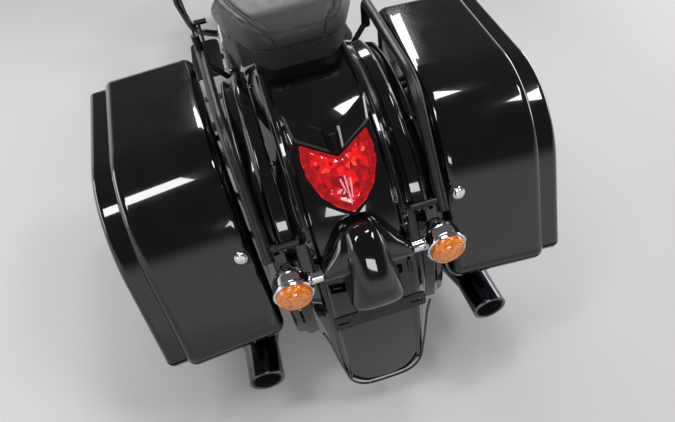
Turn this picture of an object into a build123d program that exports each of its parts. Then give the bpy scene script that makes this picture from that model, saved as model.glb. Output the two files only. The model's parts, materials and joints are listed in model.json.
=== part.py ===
from build123d import *
from math import asin, atan2, cos, degrees, hypot, pi, radians, sin, tan
import os

# Touring motorcycle with hard saddlebags, parked on its side stand with the steering on its left stop.
# Every size below is in the upright frame: X to the rider's right, Y forward, Z up, millimetres,
# with zero on the floor under the rear axle. The last section turns the steering and leans the machine.

# Stance
wheelbase = 1668.0
rake = 29.0
fork_offset = 25.0
lean_angle = 11.5
steering_lock = 32.0

# Wheels and tyres
rear_tyre_radius = 311.0
rear_tyre_width = 180.0
rear_rim_radius = 203.0
rear_crown_radius = 104.0
front_tyre_radius = 319.0
front_tyre_width = 130.0
front_rim_radius = 241.0
front_crown_radius = 76.0
rim_depth = 22.0
spoke_count = 10
spoke_thickness = 20.0
hub_radius = 42.0
axle_radius = 12.5
axle_bore = 8.0
hub_clearance = 0.1
disc_radius = 150.0
disc_thickness = 5.0
rear_pulley_radius = 118.0
belt_width = 28.0
belt_thickness = 9.0

# Fork and front end
fork_half_spacing = 116.0
slider_radius = 30.0
fork_tube_radius = 23.0
slider_top = 330.0
lower_yoke_height = 490.0
upper_yoke_height = 676.0
yoke_thickness = 30.0
stem_radius = 15.0
head_radius = 34.0
head_clearance = 0.3

# Rear fender
fender_axis_y = -5.0
fender_axis_z = 337.0
fender_radius = 400.0
fender_half_width = 128.0
fender_wall = 4.0
fender_front_angle = -22.0
fender_tail_angle = 84.0
fender_tail_length = 265.0
fender_tail_half_width = 86.0
fender_tail_corner = 76.0

# Saddlebags
bag_inner_x = 186.0
bag_width = 208.0
bag_toe = 4.5
bag_wall = 4.0
bag_edge_radius = 26.0
bag_panel_depth = 40.0
bag_panel_inset = 14.0
lid_gap = 5.0
lid_seam_front_z = 600.0
lid_seam_rear_z = 322.0
lid_open_angle = 80.0

# Lamps at the tail
signal_half_spacing = 140.0
signal_y = -398.0
signal_z = 520.0
signal_radius = 35.0

# Exhaust
tailpipe_x = 258.0
tailpipe_y = -405.0
tailpipe_z = 232.0
tailpipe_radius = 38.0
tailpipe_bore = 30.0
tailpipe_length = 80.0
muffler_radius = 52.0
muffler_length = 640.0
header_radius = 24.0

# Engine
crank_y = 838.0
crank_z = 335.0
cylinder_half_angle = 24.5
barrel_radius = 68.0
fin_radius = 90.0
fin_count = 11
fin_pitch = 12.0
fin_thickness = 4.0
barrel_base = 138.0
head_height = 92.0

# Tank and seat
tank_rear_y = 575.0
tank_front_y = 1215.0
tank_bottom_z = 772.0
backbone_radius = 24.0

# Side stand
stand_pivot = (-150.0, 900.0, 176.0)
stand_foot_x = -372.0
stand_foot_y = 955.0
stand_radius = 11.0
stand_foot_radius = 30.0
stand_foot_thickness = 8.0

seat_gap = 0.3


def at(x, y, z):
    return Location((x, y, z))


def rod(start, end, radius, bore=0.0):
    """Round bar or tube from one point to another."""
    start, end = Vector(*start), Vector(*end)
    along = end - start
    where = Plane(origin=start, z_dir=along).location
    bottom = (Align.CENTER, Align.CENTER, Align.MIN)
    bar = where * Cylinder(radius, along.length, align=bottom)
    if bore:
        bar -= where * Cylinder(bore, along.length, align=bottom)
    return bar


def pipe(points, bend, radius):
    """Round bar along straight runs joined by tangent arcs."""
    path = FilletPolyline(*points, radius=bend)
    section = Plane(origin=path @ 0, z_dir=path % 0) * Circle(radius)
    return sweep(section, path=path)


def flat(rows):
    """Closed face on XY from rows of (first, second, corner radius)."""
    points = [(a, b) for a, b, _ in rows]
    radii = [r for _, _, r in rows]
    return make_face(FilletPolyline(*points, radius=radii, close=True))


def side_plate(rows, x_from, x_to):
    """Prism with a side outline of (y, z, corner radius) rows, between two x places."""
    plane = Plane(origin=(x_from, 0, 0), x_dir=(0, 1, 0), z_dir=(1, 0, 0))
    return extrude(plane * flat(rows), amount=x_to - x_from)


def ring(rows, centre, first=0.0, arc=360.0):
    """Turns an outline of (x, radius, corner) rows about a line along X through centre = (y, z).

    The angles start at the top and run rearward."""
    face = Plane.XZ * flat(rows)
    if first:
        face = Rotation(first, 0, 0) * face
    return at(0, centre[0], centre[1]) * revolve(face, Axis.X, revolution_arc=arc)


def mirrored(shape):
    return mirror(shape, about=Plane.YZ)


def both(shape):
    """The shape and its mirror image on the other side, as one node."""
    return Compound(children=[s for part in (shape, mirrored(shape)) for s in part.solids()])


def biggest(shape):
    return max(shape.solids(), key=lambda s: s.volume)


# Steering geometry: the line of the steering axis in the middle plane
steer_up = Vector(0, -sin(radians(rake)), cos(radians(rake)))
steer_forward = Vector(0, cos(radians(rake)), sin(radians(rake)))
rear_axle = Vector(0, 0, rear_tyre_radius)
front_axle = Vector(0, wheelbase, front_tyre_radius)
steer_foot = front_axle - steer_forward * fork_offset


def on_fork(x, forward, up):
    """Point from the foot of the steering axis: x sideways, forward of the axis, up along it."""
    return Vector(x, 0, 0) + steer_foot + steer_forward * forward + steer_up * up


fork_frame = Plane(origin=steer_foot, x_dir=(1, 0, 0), z_dir=steer_up)

nodes = {}
steered = []


def keep(name, shape, turns=False):
    nodes[name] = shape
    if turns:
        steered.append(name)


# Wheels: a tyre ring, a cast wheel with paired spokes, and discs


def tyre(radius, width, rim_radius, crown_radius, centre):
    half_angle = asin(width / 2 / crown_radius)
    shoulder = radius - crown_radius * (1 - cos(half_angle))
    half_bead = width * 0.36
    crown = ThreePointArc((-width / 2, shoulder), (0, radius), (width / 2, shoulder))
    wall = width / 2, (shoulder + rim_radius) / 2 + width * 0.06
    right = ThreePointArc((width / 2, shoulder), (wall[0] - 2, wall[1]), (half_bead, rim_radius))
    foot = Line((half_bead, rim_radius), (-half_bead, rim_radius))
    left = ThreePointArc((-half_bead, rim_radius), (-wall[0] + 2, wall[1]), (-width / 2, shoulder))
    face = Plane.XZ * make_face([crown, right, foot, left])
    return at(0, *centre) * revolve(face, Axis.X)


def cast_wheel(width, rim_radius, hub_half_width, centre):
    half = width * 0.36
    outer = rim_radius
    rim = ring(
        [
            (-half, outer, 0),
            (half, outer, 0),
            (half + 6, outer - 12, 3),
            (half - 2, outer - 20, 3),
            (18, outer - rim_depth - 14, 12),
            (-18, outer - rim_depth - 14, 12),
            (-half + 2, outer - 20, 3),
            (-half - 6, outer - 12, 3),
        ],
        (0, 0),
    )
    hub = rod((-hub_half_width, 0, 0), (hub_half_width, 0, 0), hub_radius)
    wheel = rim + hub
    inner, reach = hub_radius - 8, outer - rim_depth - 4
    for i in range(spoke_count // 2):
        for side in (-1, 1):
            # Each pair of spokes spreads from the hub to the rim
            blade = side_plate(
                [
                    (side * 4, inner, 0),
                    (side * 24, inner, 0),
                    (side * 46, reach, 0),
                    (side * 26, reach, 0),
                ],
                -spoke_thickness / 2,
                spoke_thickness / 2,
            )
            wheel += Rotation(i * 720 / spoke_count, 0, 0) * blade
    wheel -= rod((-hub_half_width, 0, 0), (hub_half_width, 0, 0), axle_radius + hub_clearance)
    return at(0, *centre) * wheel


def disc(x, centre, hub_half_width):
    side = 1 if x > 0 else -1
    face = rod((x, 0, 0), (x + side * disc_thickness, 0, 0), disc_radius)
    face -= rod((x, 0, 0), (x + side * disc_thickness, 0, 0), disc_radius - 38)
    bell = rod((x, 0, 0), (x + side * disc_thickness, 0, 0), disc_radius - 38)
    for i in range(6):
        angle = radians(i * 60)
        y, z = 78 * cos(angle), 78 * sin(angle)
        bell -= rod((x, y, z), (x + side * disc_thickness, y, z), 22)
    seat = rod((side * hub_half_width, 0, 0), (x, 0, 0), hub_radius + 6)
    whole = face + bell + seat
    whole -= rod((side * hub_half_width, 0, 0), (x + side * disc_thickness, 0, 0), axle_radius + 4)
    return at(0, *centre) * whole


rear_centre = (0.0, rear_tyre_radius)
front_centre = (wheelbase, front_tyre_radius)
rear_hub_half = 88.0
front_hub_half = 62.0
front_disc_x = 70.0
rear_disc_x = 96.0
belt_x = -(rear_hub_half + 10.0)

keep("rear_tyre", tyre(rear_tyre_radius, rear_tyre_width, rear_rim_radius, rear_crown_radius, rear_centre))
keep("rear_wheel", cast_wheel(rear_tyre_width, rear_rim_radius, rear_hub_half, rear_centre))
keep(
    "front_tyre",
    tyre(front_tyre_radius, front_tyre_width, front_rim_radius, front_crown_radius, front_centre),
    True,
)
keep("front_wheel", cast_wheel(front_tyre_width, front_rim_radius, front_hub_half, front_centre), True)
front_discs = [disc(side * front_disc_x, front_centre, front_hub_half) for side in (-1, 1)]
keep("front_brake_discs", Compound(children=[s for d in front_discs for s in d.solids()]), True)
rear_disc = disc(rear_disc_x, rear_centre, rear_hub_half)

pulley = rod((-rear_hub_half, 0, 0), (belt_x - belt_width, 0, 0), rear_pulley_radius)
for i in range(8):
    angle = radians(i * 45)
    y, z = 78 * cos(angle), 78 * sin(angle)
    pulley -= rod((-rear_hub_half, y, z), (belt_x - belt_width, y, z), 20)
pulley -= rod((-rear_hub_half, 0, 0), (belt_x - belt_width, 0, 0), axle_radius + 4)
keep("rear_disc_and_pulley", Compound(children=[*rear_disc.solids(), *(at(0, *rear_centre) * pulley).solids()]))

# Drive belt: one flat loop round the rear pulley and the gearbox pulley
gearbox_y = 560.0
gearbox_z = 318.0
front_pulley_radius = 46.0


def belt_loop(grow):
    big, small = rear_pulley_radius + grow, front_pulley_radius + grow
    span = hypot(gearbox_y, gearbox_z - rear_tyre_radius)
    tilt = degrees(atan2(gearbox_z - rear_tyre_radius, gearbox_y))
    swing = degrees(asin((big - small) / span))
    first, last = radians(tilt + 90 - swing), radians(tilt - 90 + swing)

    def on(centre, radius, angle):
        return (centre[0] + radius * cos(angle), centre[1] + radius * sin(angle))

    rear, front = (0.0, rear_tyre_radius), (gearbox_y, gearbox_z)
    top = Line(on(rear, big, first), on(front, small, first))
    nose = ThreePointArc(on(front, small, first), on(front, small, radians(tilt)), on(front, small, last))
    low = Line(on(front, small, last), on(rear, big, last))
    tail = ThreePointArc(on(rear, big, last), on(rear, big, radians(tilt + 180)), on(rear, big, first))
    return make_face([top, nose, low, tail])


belt_plane = Plane(origin=(belt_x, 0, 0), x_dir=(0, 1, 0), z_dir=(1, 0, 0))
belt_gap = 0.5
belt = belt_loop(belt_gap + belt_thickness) - belt_loop(belt_gap)
keep("drive_belt", extrude(belt_plane * belt, amount=-(belt_width - 4)))

# Axles, swingarm and brake parts
arm_x = 146.0
arm_half = 13.0
rear_axle_half = arm_x + arm_half + 12
rear_axle_rod = rod(
    (-rear_axle_half, 0, rear_tyre_radius), (rear_axle_half, 0, rear_tyre_radius), axle_radius, axle_bore
)
swing_y, swing_z = 478.0, 330.0
arm = side_plate(
    [
        (-48, rear_tyre_radius - 26, 20),
        (-48, rear_tyre_radius + 26, 20),
        (60, rear_tyre_radius + 30, 40),
        (swing_y + 30, swing_z + 30, 24),
        (swing_y + 30, swing_z - 34, 24),
        (60, rear_tyre_radius - 30, 40),
    ],
    arm_x - arm_half,
    arm_x + arm_half,
)
cross_rows = [
    (395, swing_z - 30, 10),
    (395, swing_z + 26, 10),
    (450, swing_z + 28, 10),
    (450, swing_z - 32, 10),
]
swingarm = arm + mirrored(arm) + side_plate(cross_rows, -arm_x, arm_x)
swingarm -= rod((-200, 0, rear_tyre_radius), (200, 0, rear_tyre_radius), axle_radius)
pivot_shaft = rod((-arm_x - arm_half - 6, swing_y, swing_z), (arm_x + arm_half + 6, swing_y, swing_z), 11)
swingarm -= rod((-200, swing_y, swing_z), (200, swing_y, swing_z), 11)
belt_slot = side_plate(
    [(380, 200, 0), (380, 420, 0), (470, 420, 0), (470, 200, 0)], belt_x - belt_width - 6, belt_x + 6
)
swingarm -= belt_slot
# The cut leaves the cross beam's stub on the left arm, joined below the belt by a bridge
bridge = side_plate(
    [(395, 200, 8), (395, 236, 8), (450, 236, 8), (450, 200, 8)], belt_x - belt_width - 10, belt_x + 10
)
leg_rows = [(395, 200, 8), (395, swing_z, 8), (450, swing_z, 8), (450, 200, 8)]
swingarm += bridge
swingarm += side_plate(leg_rows, belt_x + 6, belt_x + 26)
swingarm += side_plate(leg_rows, -arm_x, belt_x - belt_width - 6)
keep("swingarm", biggest(swingarm))
keep("rear_axle_and_pivot", Compound(children=[*rear_axle_rod.solids(), *pivot_shaft.solids()]))


def caliper(disc_from, disc_to, reach, width):
    """Block over the edge of a disc on the YZ plane, centred on the disc's centre, at the +Y side."""
    low, high = min(disc_from, disc_to), max(disc_from, disc_to)
    body = side_plate(
        [
            (disc_radius - 44, -width / 2, 8),
            (disc_radius - 44, width / 2, 8),
            (disc_radius + reach, width / 2 - 8, 14),
            (disc_radius + reach, -width / 2 + 8, 14),
        ],
        low - 18,
        high + 18,
    )
    slot = side_plate(
        [
            (disc_radius - 60, -width, 0),
            (disc_radius - 60, width, 0),
            (disc_radius + 5, width, 0),
            (disc_radius + 5, -width, 0),
        ],
        low - 2,
        high + 2,
    )
    return body - slot


# The rear caliper sits ahead of the axle, under the right arm
rear_caliper = at(0, *rear_centre) * (
    Rotation(-38, 0, 0) * caliper(rear_disc_x, rear_disc_x + disc_thickness, 12, 96)
)
caliper_lug = side_plate(
    [
        (80, rear_tyre_radius - 50, 8),
        (80, rear_tyre_radius - 10, 8),
        (150, rear_tyre_radius - 10, 8),
        (150, rear_tyre_radius - 72, 8),
    ],
    rear_disc_x + 16,
    arm_x - arm_half + 3,
)
keep("rear_caliper", biggest(rear_caliper + caliper_lug - nodes["swingarm"]))

# Fork, yokes and stem
axle_half = fork_half_spacing + slider_radius + 6
front_axle_rod = rod(
    (-axle_half, wheelbase, front_tyre_radius), (axle_half, wheelbase, front_tyre_radius), axle_radius, axle_bore
)
keep("front_axle", front_axle_rod, True)
slider = rod(on_fork(fork_half_spacing, fork_offset, -32), on_fork(fork_half_spacing, fork_offset, slider_top), slider_radius)
slider += rod(
    on_fork(fork_half_spacing, fork_offset, slider_top - 26),
    on_fork(fork_half_spacing, fork_offset, slider_top),
    slider_radius + 3,
)
slider -= rod((0, wheelbase, front_tyre_radius), (250, wheelbase, front_tyre_radius), axle_radius)
slider -= rod(
    on_fork(fork_half_spacing, fork_offset, 120), on_fork(fork_half_spacing, fork_offset, slider_top), fork_tube_radius
)
keep("fork_sliders", both(slider), True)
tube_top = upper_yoke_height + yoke_thickness / 2 + 6
fork_tube = rod(on_fork(fork_half_spacing, fork_offset, 120), on_fork(fork_half_spacing, fork_offset, tube_top), fork_tube_radius)
keep("fork_tubes", both(fork_tube), True)


def yoke(height):
    """Clamp plate round both fork tubes and the stem, at a height along the steering axis."""
    bottom = height - yoke_thickness / 2
    plate = extrude(
        flat(
            [
                (-fork_half_spacing - 36, fork_offset - 34, 26),
                (-fork_half_spacing - 36, fork_offset + 34, 26),
                (fork_half_spacing + 36, fork_offset + 34, 26),
                (fork_half_spacing + 36, fork_offset - 34, 26),
                (40, -38, 20),
                (-40, -38, 20),
            ]
        ),
        amount=yoke_thickness,
    )
    for x in (-fork_half_spacing, fork_half_spacing):
        plate -= Pos(x, fork_offset, 0) * Cylinder(fork_tube_radius, 3 * yoke_thickness)
    return fork_frame.location * (Pos(0, 0, bottom) * plate)


stem = rod(
    on_fork(0, 0, lower_yoke_height - yoke_thickness / 2), on_fork(0, 0, upper_yoke_height + yoke_thickness / 2), stem_radius
)
keep("fork_yokes", yoke(lower_yoke_height) + yoke(upper_yoke_height) + stem, True)

# Front calipers behind the sliders
front_calipers = []
for side in (-1, 1):
    low = side * front_disc_x
    block = caliper(low, low + side * disc_thickness, 10, 104)
    block = at(0, *front_centre) * (Rotation(180 - 24, 0, 0) * block)
    for up in (86, 128):
        lug_start = on_fork(side * (fork_half_spacing - 12), fork_offset, up)
        lug_end = on_fork(side * (front_disc_x + disc_thickness + 12), fork_offset - 60, up)
        block += rod(lug_start, lug_end, 8)
    front_calipers.append(biggest(block - both(slider)))
keep("front_calipers", Compound(children=front_calipers), True)

# Front fender: a ring segment over the tyre, with a tab to each slider
front_fender_gap = 20.0
front_fender_half = 76.0


def fender_rows(radius, half, wall, skirt):
    return [
        (-half, radius - skirt, 0),
        (-half, radius - 26, 22),
        (-half * 0.62, radius, 40),
        (half * 0.62, radius, 40),
        (half, radius - 26, 22),
        (half, radius - skirt, 0),
        (half - wall, radius - skirt, 0),
        (half - wall, radius - 26 - wall, 20),
        (half * 0.62 - wall / 2, radius - wall, 38),
        (-half * 0.62 + wall / 2, radius - wall, 38),
        (-half + wall, radius - 26 - wall, 20),
        (-half + wall, radius - skirt, 0),
    ]


front_fender = ring(
    fender_rows(front_tyre_radius + front_fender_gap + 3.0, front_fender_half, 3.0, 70.0), front_centre, -52, 128
)
tab = side_plate(
    [(-26, 262, 8), (-26, 330, 8), (20, 330, 8), (20, 262, 8)], front_fender_half, fork_half_spacing - 4
)
tab = at(0, *front_centre) * (Rotation(rake, 0, 0) * tab)
tab -= slider
tab -= fork_tube
front_fender += biggest(tab) + mirrored(biggest(tab))
keep("front_fender", front_fender, True)

# Handlebar on two risers, with grips, levers and mirrors
bar_radius = 12.7
grip_radius = 17.0
bar_clamp = on_fork(0, 2, upper_yoke_height + yoke_thickness / 2) + Vector(0, -38, 50)
bar_points = [
    bar_clamp,
    bar_clamp + Vector(108, 0, 0),
    bar_clamp + Vector(196, 21, 84),
    bar_clamp + Vector(300, -49, 108),
    bar_clamp + Vector(418, -197, 42),
]
right_bar = pipe(bar_points, [40, 50, 60], bar_radius)
grip_start, grip_end = bar_points[-2], bar_points[-1]
grip_way = (grip_end - grip_start).normalized()
grip_length = 128.0
grip = rod(tuple(grip_end - grip_way * grip_length), tuple(grip_end + grip_way * 5), grip_radius)
grip -= rod(tuple(grip_end - grip_way * (grip_length + 22)), tuple(grip_end), bar_radius)
handlebar = right_bar + mirrored(right_bar)
risers = []
for x in (-42, 42):
    post = rod(on_fork(x, 2, upper_yoke_height + yoke_thickness / 2), tuple(bar_clamp + Vector(x, -3, 16)), 17)
    risers.append(post)
handlebar += risers[0] + risers[1]
handlebar -= nodes["fork_yokes"]
keep("handlebar", handlebar, True)
keep("hand_grips", both(grip), True)

control_at = grip_end - grip_way * (grip_length + 24)
lever_out = grip_way.cross(Vector(0, 0, 1)).normalized() * -1
if lever_out.Y < 0:
    lever_out = lever_out * -1
housing = rod(tuple(control_at - grip_way * 20), tuple(control_at + grip_way * 22), 25)
perch = control_at + lever_out * 46
lever = pipe(
    [control_at + lever_out * 20, perch, perch + grip_way * 60, perch + grip_way * 160 - lever_out * 8], [14, 60], 6.5
)
reservoir = Box(46, 40, 30)
reservoir = at(*(control_at + lever_out * 8 + Vector(0, 0, 34))) * reservoir
mirror_foot = control_at - grip_way * 6 + Vector(0, 0, 20)
mirror_head = control_at + Vector(24, 40, 148)
housing += lever + reservoir
housing -= right_bar
keep("control_levers", both(biggest(housing)), True)
mirror_stem = pipe([mirror_foot, mirror_foot + Vector(0, 8, 60), mirror_head], [40], 5.5)
mirror_stem -= housing
mirror_stem -= right_bar
mirror_shell = at(*mirror_head) * (
    Rotation(0, 0, -8) * extrude(Plane.XZ.offset(-8) * Ellipse(76, 46), amount=22)
)
mirror_shell += biggest(mirror_stem)
keep("mirrors", both(biggest(mirror_shell)), True)

# Fairing carried by the fork: a hollow shell, closed at the back by the dash
fairing_wall = 5.0
head_lamp_radius = 84.0
# Columns: y, bottom z, half bottom, side low z, half side, side high z, top z, half top
fairing_sections = [
    (1404.0, 782.0, 170.0, 868.0, 322.0, 952.0, 1046.0, 190.0),
    (1490.0, 768.0, 160.0, 852.0, 304.0, 950.0, 1040.0, 176.0),
    (1580.0, 762.0, 130.0, 818.0, 226.0, 938.0, 1004.0, 140.0),
    (1648.0, 764.0, 78.0, 806.0, 128.0, 908.0, 950.0, 84.0),
]
lamp_y = fairing_sections[-1][0]
lamp_z = 857.0


def fairing_outline(section, wall):
    y, low, half_low, side_low, half_side, side_high, top, half_top = section
    rows = []
    for side in (1, -1):
        corners = [
            (side * (half_low - wall * 0.4), low + wall, 26 - wall),
            (side * (half_side - wall), side_low + wall * 0.4, 34 - wall),
            (side * (half_side - wall), side_high - wall * 0.4, 34 - wall),
            (side * (half_top - wall * 0.4), top - wall, 30 - wall),
        ]
        rows += corners if side == 1 else corners[::-1]
    return Plane(origin=(0, y, 0), x_dir=(1, 0, 0), z_dir=(0, -1, 0)) * flat(rows)


def fairing_body(wall):
    # The inner body ends a wall short of the nose, which leaves a front wall round the lamp
    nose = (lamp_y - wall, *fairing_sections[-1][1:])
    return loft([fairing_outline(section, wall) for section in (*fairing_sections[:-1], nose)])


fairing_outer = fairing_body(0)
fairing_inner = fairing_body(fairing_wall)
lamp_bore = rod((0, lamp_y - 110, lamp_z), (0, lamp_y + 40, lamp_z), head_lamp_radius)
tube_cut = rod(on_fork(fork_half_spacing, fork_offset, 300), on_fork(fork_half_spacing, fork_offset, 760), fork_tube_radius + 6)
head_cut = rod(on_fork(0, 0, 420), on_fork(0, 0, 640), head_radius + 28)
tube_cuts = tube_cut + mirrored(tube_cut) + head_cut + nodes["fork_yokes"]
fairing = fairing_outer - fairing_inner - lamp_bore - tube_cuts
fairing -= at(0, fairing_sections[0][0] - 1, 900) * Box(900, 2, 600)
headlamp = rod((0, lamp_y - 40, lamp_z), (0, lamp_y + 6, lamp_z), head_lamp_radius)
keep("headlamp", headlamp, True)
dash = fairing_inner & (at(0, fairing_sections[0][0] + 14, 900) * Box(900, 6, 600))
dash -= both(fork_tube)
dash = dash - nodes["fork_yokes"] - head_cut
keep("dash_panel", biggest(dash), True)
keep("fairing", biggest(fairing - dash), True)

# Windshield: a thin curved screen standing on the fairing
screen_radius = 330.0
screen_tilt = 34.0
screen = Cylinder(screen_radius, 340) - Cylinder(screen_radius - 4, 340)
screen = at(0, 1232, 886) * (Rotation(screen_tilt, 0, 0) * screen)
screen_front = extrude(
    Plane(origin=(0, 1700, 0), x_dir=(1, 0, 0), z_dir=(0, -1, 0))
    * flat([(-235, 900, 0), (-235, 1110, 60), (-150, 1235, 60), (150, 1235, 60), (235, 1110, 60), (235, 900, 0)]),
    amount=400,
)
screen = screen & screen_front
screen -= fairing_outer
screen = screen & (at(0, 1500, 1095) * Box(900, 400, 300))
keep("windshield", biggest(screen), True)

# Front signals on the fairing's lower sides
front_signal = rod((fork_half_spacing, 1452, 742), (212, 1470, 742), 9)
front_signal += rod((205, 1440, 742), (205, 1492, 742), signal_radius)
front_signal -= both(fork_tube)
front_signal = front_signal - nodes["fairing"] - nodes["fork_yokes"]
front_lens = rod((205, 1492, 742), (205, 1506, 742), signal_radius - 2)
keep("front_signal_shells", both(biggest(front_signal)), True)
keep("front_signal_lenses", both(front_lens), True)

# Main frame: head, backbone, cradle, rear plates and rails
head_low = lower_yoke_height + yoke_thickness / 2 + 5
head_high = upper_yoke_height - yoke_thickness / 2 - 5
tube_radius = 16.0
cradle_x = 77.0
cradle_z = 135.0
rail_x = fender_half_width + 4.0 + 14.0
rail_rear_y = -160.0
head_tube = rod(on_fork(0, 0, head_low), on_fork(0, 0, head_high), head_radius)
backbone = pipe([on_fork(0, 0, head_high - 66), (0, 640, 792), (0, 545, 622), (0, 478, 590)], [60, 40], backbone_radius)
down_tube = pipe(
    [
        on_fork(16, -30, head_high - 50),
        on_fork(22, -98, head_low - 10),
        (cradle_x, 1095, 240),
        (cradle_x, 1000, cradle_z),
        (cradle_x, 458, cradle_z),
    ],
    [50, 90, 60],
    tube_radius,
)
plate_half = 11.0
pivot_plate = side_plate(
    [(456, cradle_z - 12, 8), (456, 606, 8), (500, 606, 8), (500, cradle_z - 12, 8)],
    cradle_x - plate_half,
    cradle_x + plate_half,
)
rail = pipe([(cradle_x, 478, 592), (rail_x, 400, 600), (rail_x, rail_rear_y, 562)], [40], 14)
half_frame = down_tube + pivot_plate + rail
for y in (20.0, rail_rear_y + 12):
    z = 600 - (400 - y) * 38 / 560
    half_frame += rod((rail_x - 22, y, z), (rail_x, y, z), 8)
main_frame = head_tube + backbone + half_frame + mirrored(half_frame)
main_frame += rod((-cradle_x, 478, 590), (cradle_x, 478, 590), 15)
main_frame += rod((-cradle_x, 560, cradle_z), (cradle_x, 560, cradle_z), 12)
for y in (700, 980):
    main_frame += side_plate(
        [(y - 16, cradle_z, 0), (y - 16, 176, 6), (y + 16, 176, 6), (y + 16, cradle_z, 0)], -cradle_x, cradle_x
    )
main_frame -= rod(on_fork(0, 0, 440), on_fork(0, 0, 720), stem_radius + head_clearance)
main_frame -= rod((-200, swing_y, swing_z), (200, swing_y, swing_z), 11)

# Rear fender with a pair of ridges on each side
fender_centre = (fender_axis_y, fender_axis_z)


def fender_profile(wall):
    half = [
        (fender_half_width + 4 - wall, 250.0, 0),
        (fender_half_width - wall, fender_radius - 48 - wall * 0.4, 46),
        (98.0 - wall * 0.5, fender_radius - 15 - wall, 8),
        (92.0, fender_radius - 5 - wall, 3),
        (84.0, fender_radius - 3 - wall, 3),
        (78.0, fender_radius - 8 - wall, 4),
    ]
    left = [(-x, r, c) for x, r, c in half[::-1]]
    return half + [(0.0, fender_radius - wall, 600 - wall)] + left


outer_profile, inner_profile = fender_profile(0), fender_profile(fender_wall)
fender_arc = fender_tail_angle - fender_front_angle


def fender_body(rows):
    """An outline swept round the wheel and then straight down to the tail."""
    tail = Plane.XZ * flat(rows)
    tail = at(0, *fender_centre) * (Rotation(fender_tail_angle, 0, 0) * tail)
    way = Vector(0, -cos(radians(fender_tail_angle)), -sin(radians(fender_tail_angle)))
    return ring(rows, fender_centre, fender_front_angle, fender_arc) + extrude(
        tail, amount=fender_tail_length, dir=way
    )


fender_solid = fender_body(outer_profile)
rear_fender = fender_body(outer_profile + inner_profile[::-1])
# Seen from behind, the tail narrows to a round end
tail_low_z = (
    fender_axis_z
    + (fender_radius - 60) * cos(radians(fender_tail_angle))
    - fender_tail_length * sin(radians(fender_tail_angle))
)
tail_keep = extrude(
    Plane.XZ.offset(200)
    * flat(
        [
            (-fender_tail_half_width, tail_low_z, fender_tail_corner),
            (-fender_half_width + 20, 330, 60),
            (-fender_half_width, 430, 0),
            (fender_half_width, 430, 0),
            (fender_half_width - 20, 330, 60),
            (fender_tail_half_width, tail_low_z, fender_tail_corner),
        ]
    ),
    amount=260,
)
tail_cut = at(0, -330, 250) * Box(300, 260, 350) - tail_keep
rear_fender = biggest(rear_fender - tail_cut)
fender_solid -= tail_cut
keep("rear_fender", rear_fender)
main_frame -= fender_solid


def on_fender(angle, radius=None):
    """Plane square to the fender's crown at an angle rearward of the top; its second axis runs up the fender."""
    radius = fender_radius if radius is None else radius
    out = Vector(0, -sin(radians(angle)), cos(radians(angle)))
    return Plane(origin=Vector(0, *fender_centre) + out * radius, x_dir=(1, 0, 0), z_dir=out)


# Panels that fill the space between the fender and the saddlebags: first angle, arc, outer x
side_panel_spans = ((-8.0, 64.6, 178.0), (57.0, 39.0, 170.0))


def side_panel_rows(outer_x):
    return [
        (fender_half_width - 8, 362.0, 0),
        (140.0, 364.0, 6),
        (148.0, 356.0, 4),
        (outer_x - 4, 350.0, 12),
        (outer_x, 282.0, 0),
        (outer_x - 4, 282.0, 0),
        (outer_x - 7.5, 346.0, 10),
        (147.0, 352.0, 4),
        (140.0, 359.0, 4),
        (fender_half_width - 8, 357.5, 0),
    ]

# Engine
crank = Vector(0, crank_y, crank_z)
case = side_plate(
    [
        (640, 176, 40),
        (508, 236, 30),
        (508, 468, 30),
        (650, 476, 20),
        (930, 476, 20),
        (1018, 430, 60),
        (1030, 260, 60),
        (962, 176, 40),
    ],
    -100,
    92,
)
case -= at(-80, 560, 330) * Box(60, 150, 400)
case -= main_frame
case = biggest(case)


def bank(angle):
    """Frame of one cylinder: its third axis runs from the crank up the cylinder."""
    up = Vector(0, sin(radians(angle)), cos(radians(angle)))
    return Plane(origin=crank, x_dir=(1, 0, 0), z_dir=up)


bottom = (Align.CENTER, Align.CENTER, Align.MIN)
head_base = barrel_base + fin_count * fin_pitch
barrels, heads, covers = [], [], []
half_space = at(0, crank_y, 600) * Box(600, 3, 1200)
for angle in (cylinder_half_angle, -cylinder_half_angle):
    barrel = Pos(0, 0, 120) * Cylinder(barrel_radius, head_base - 120, align=bottom)
    for i in range(fin_count):
        fin = extrude(RectangleRounded(2 * fin_radius - 6, 2 * fin_radius, 58), amount=fin_thickness)
        barrel += Pos(0, 0, barrel_base + i * fin_pitch) * fin
    barrel = bank(angle).location * barrel - half_space - case
    side = 1 if angle > 0 else -1
    barrel = barrel & (at(0, crank_y + side * 301.5, 600) * Box(600, 600, 1200))
    barrels.append(biggest(barrel))
    head = extrude(RectangleRounded(164, 138, 30), amount=head_height)
    for i in range(5):
        head += Pos(0, 0, 4 + i * 15) * extrude(RectangleRounded(186, 166, 40), amount=5)
    head += at(97, 0, 24) * Box(36, 76, 26)
    heads.append(bank(angle).location * (Pos(0, 0, head_base) * head))
    cover = extrude(RectangleRounded(150, 118, 34), amount=44)
    cover = fillet(cover.faces().sort_by(Axis.Z)[-1].edges(), 14)
    covers.append(bank(angle).location * (Pos(0, 0, head_base + head_height) * cover))

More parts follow.
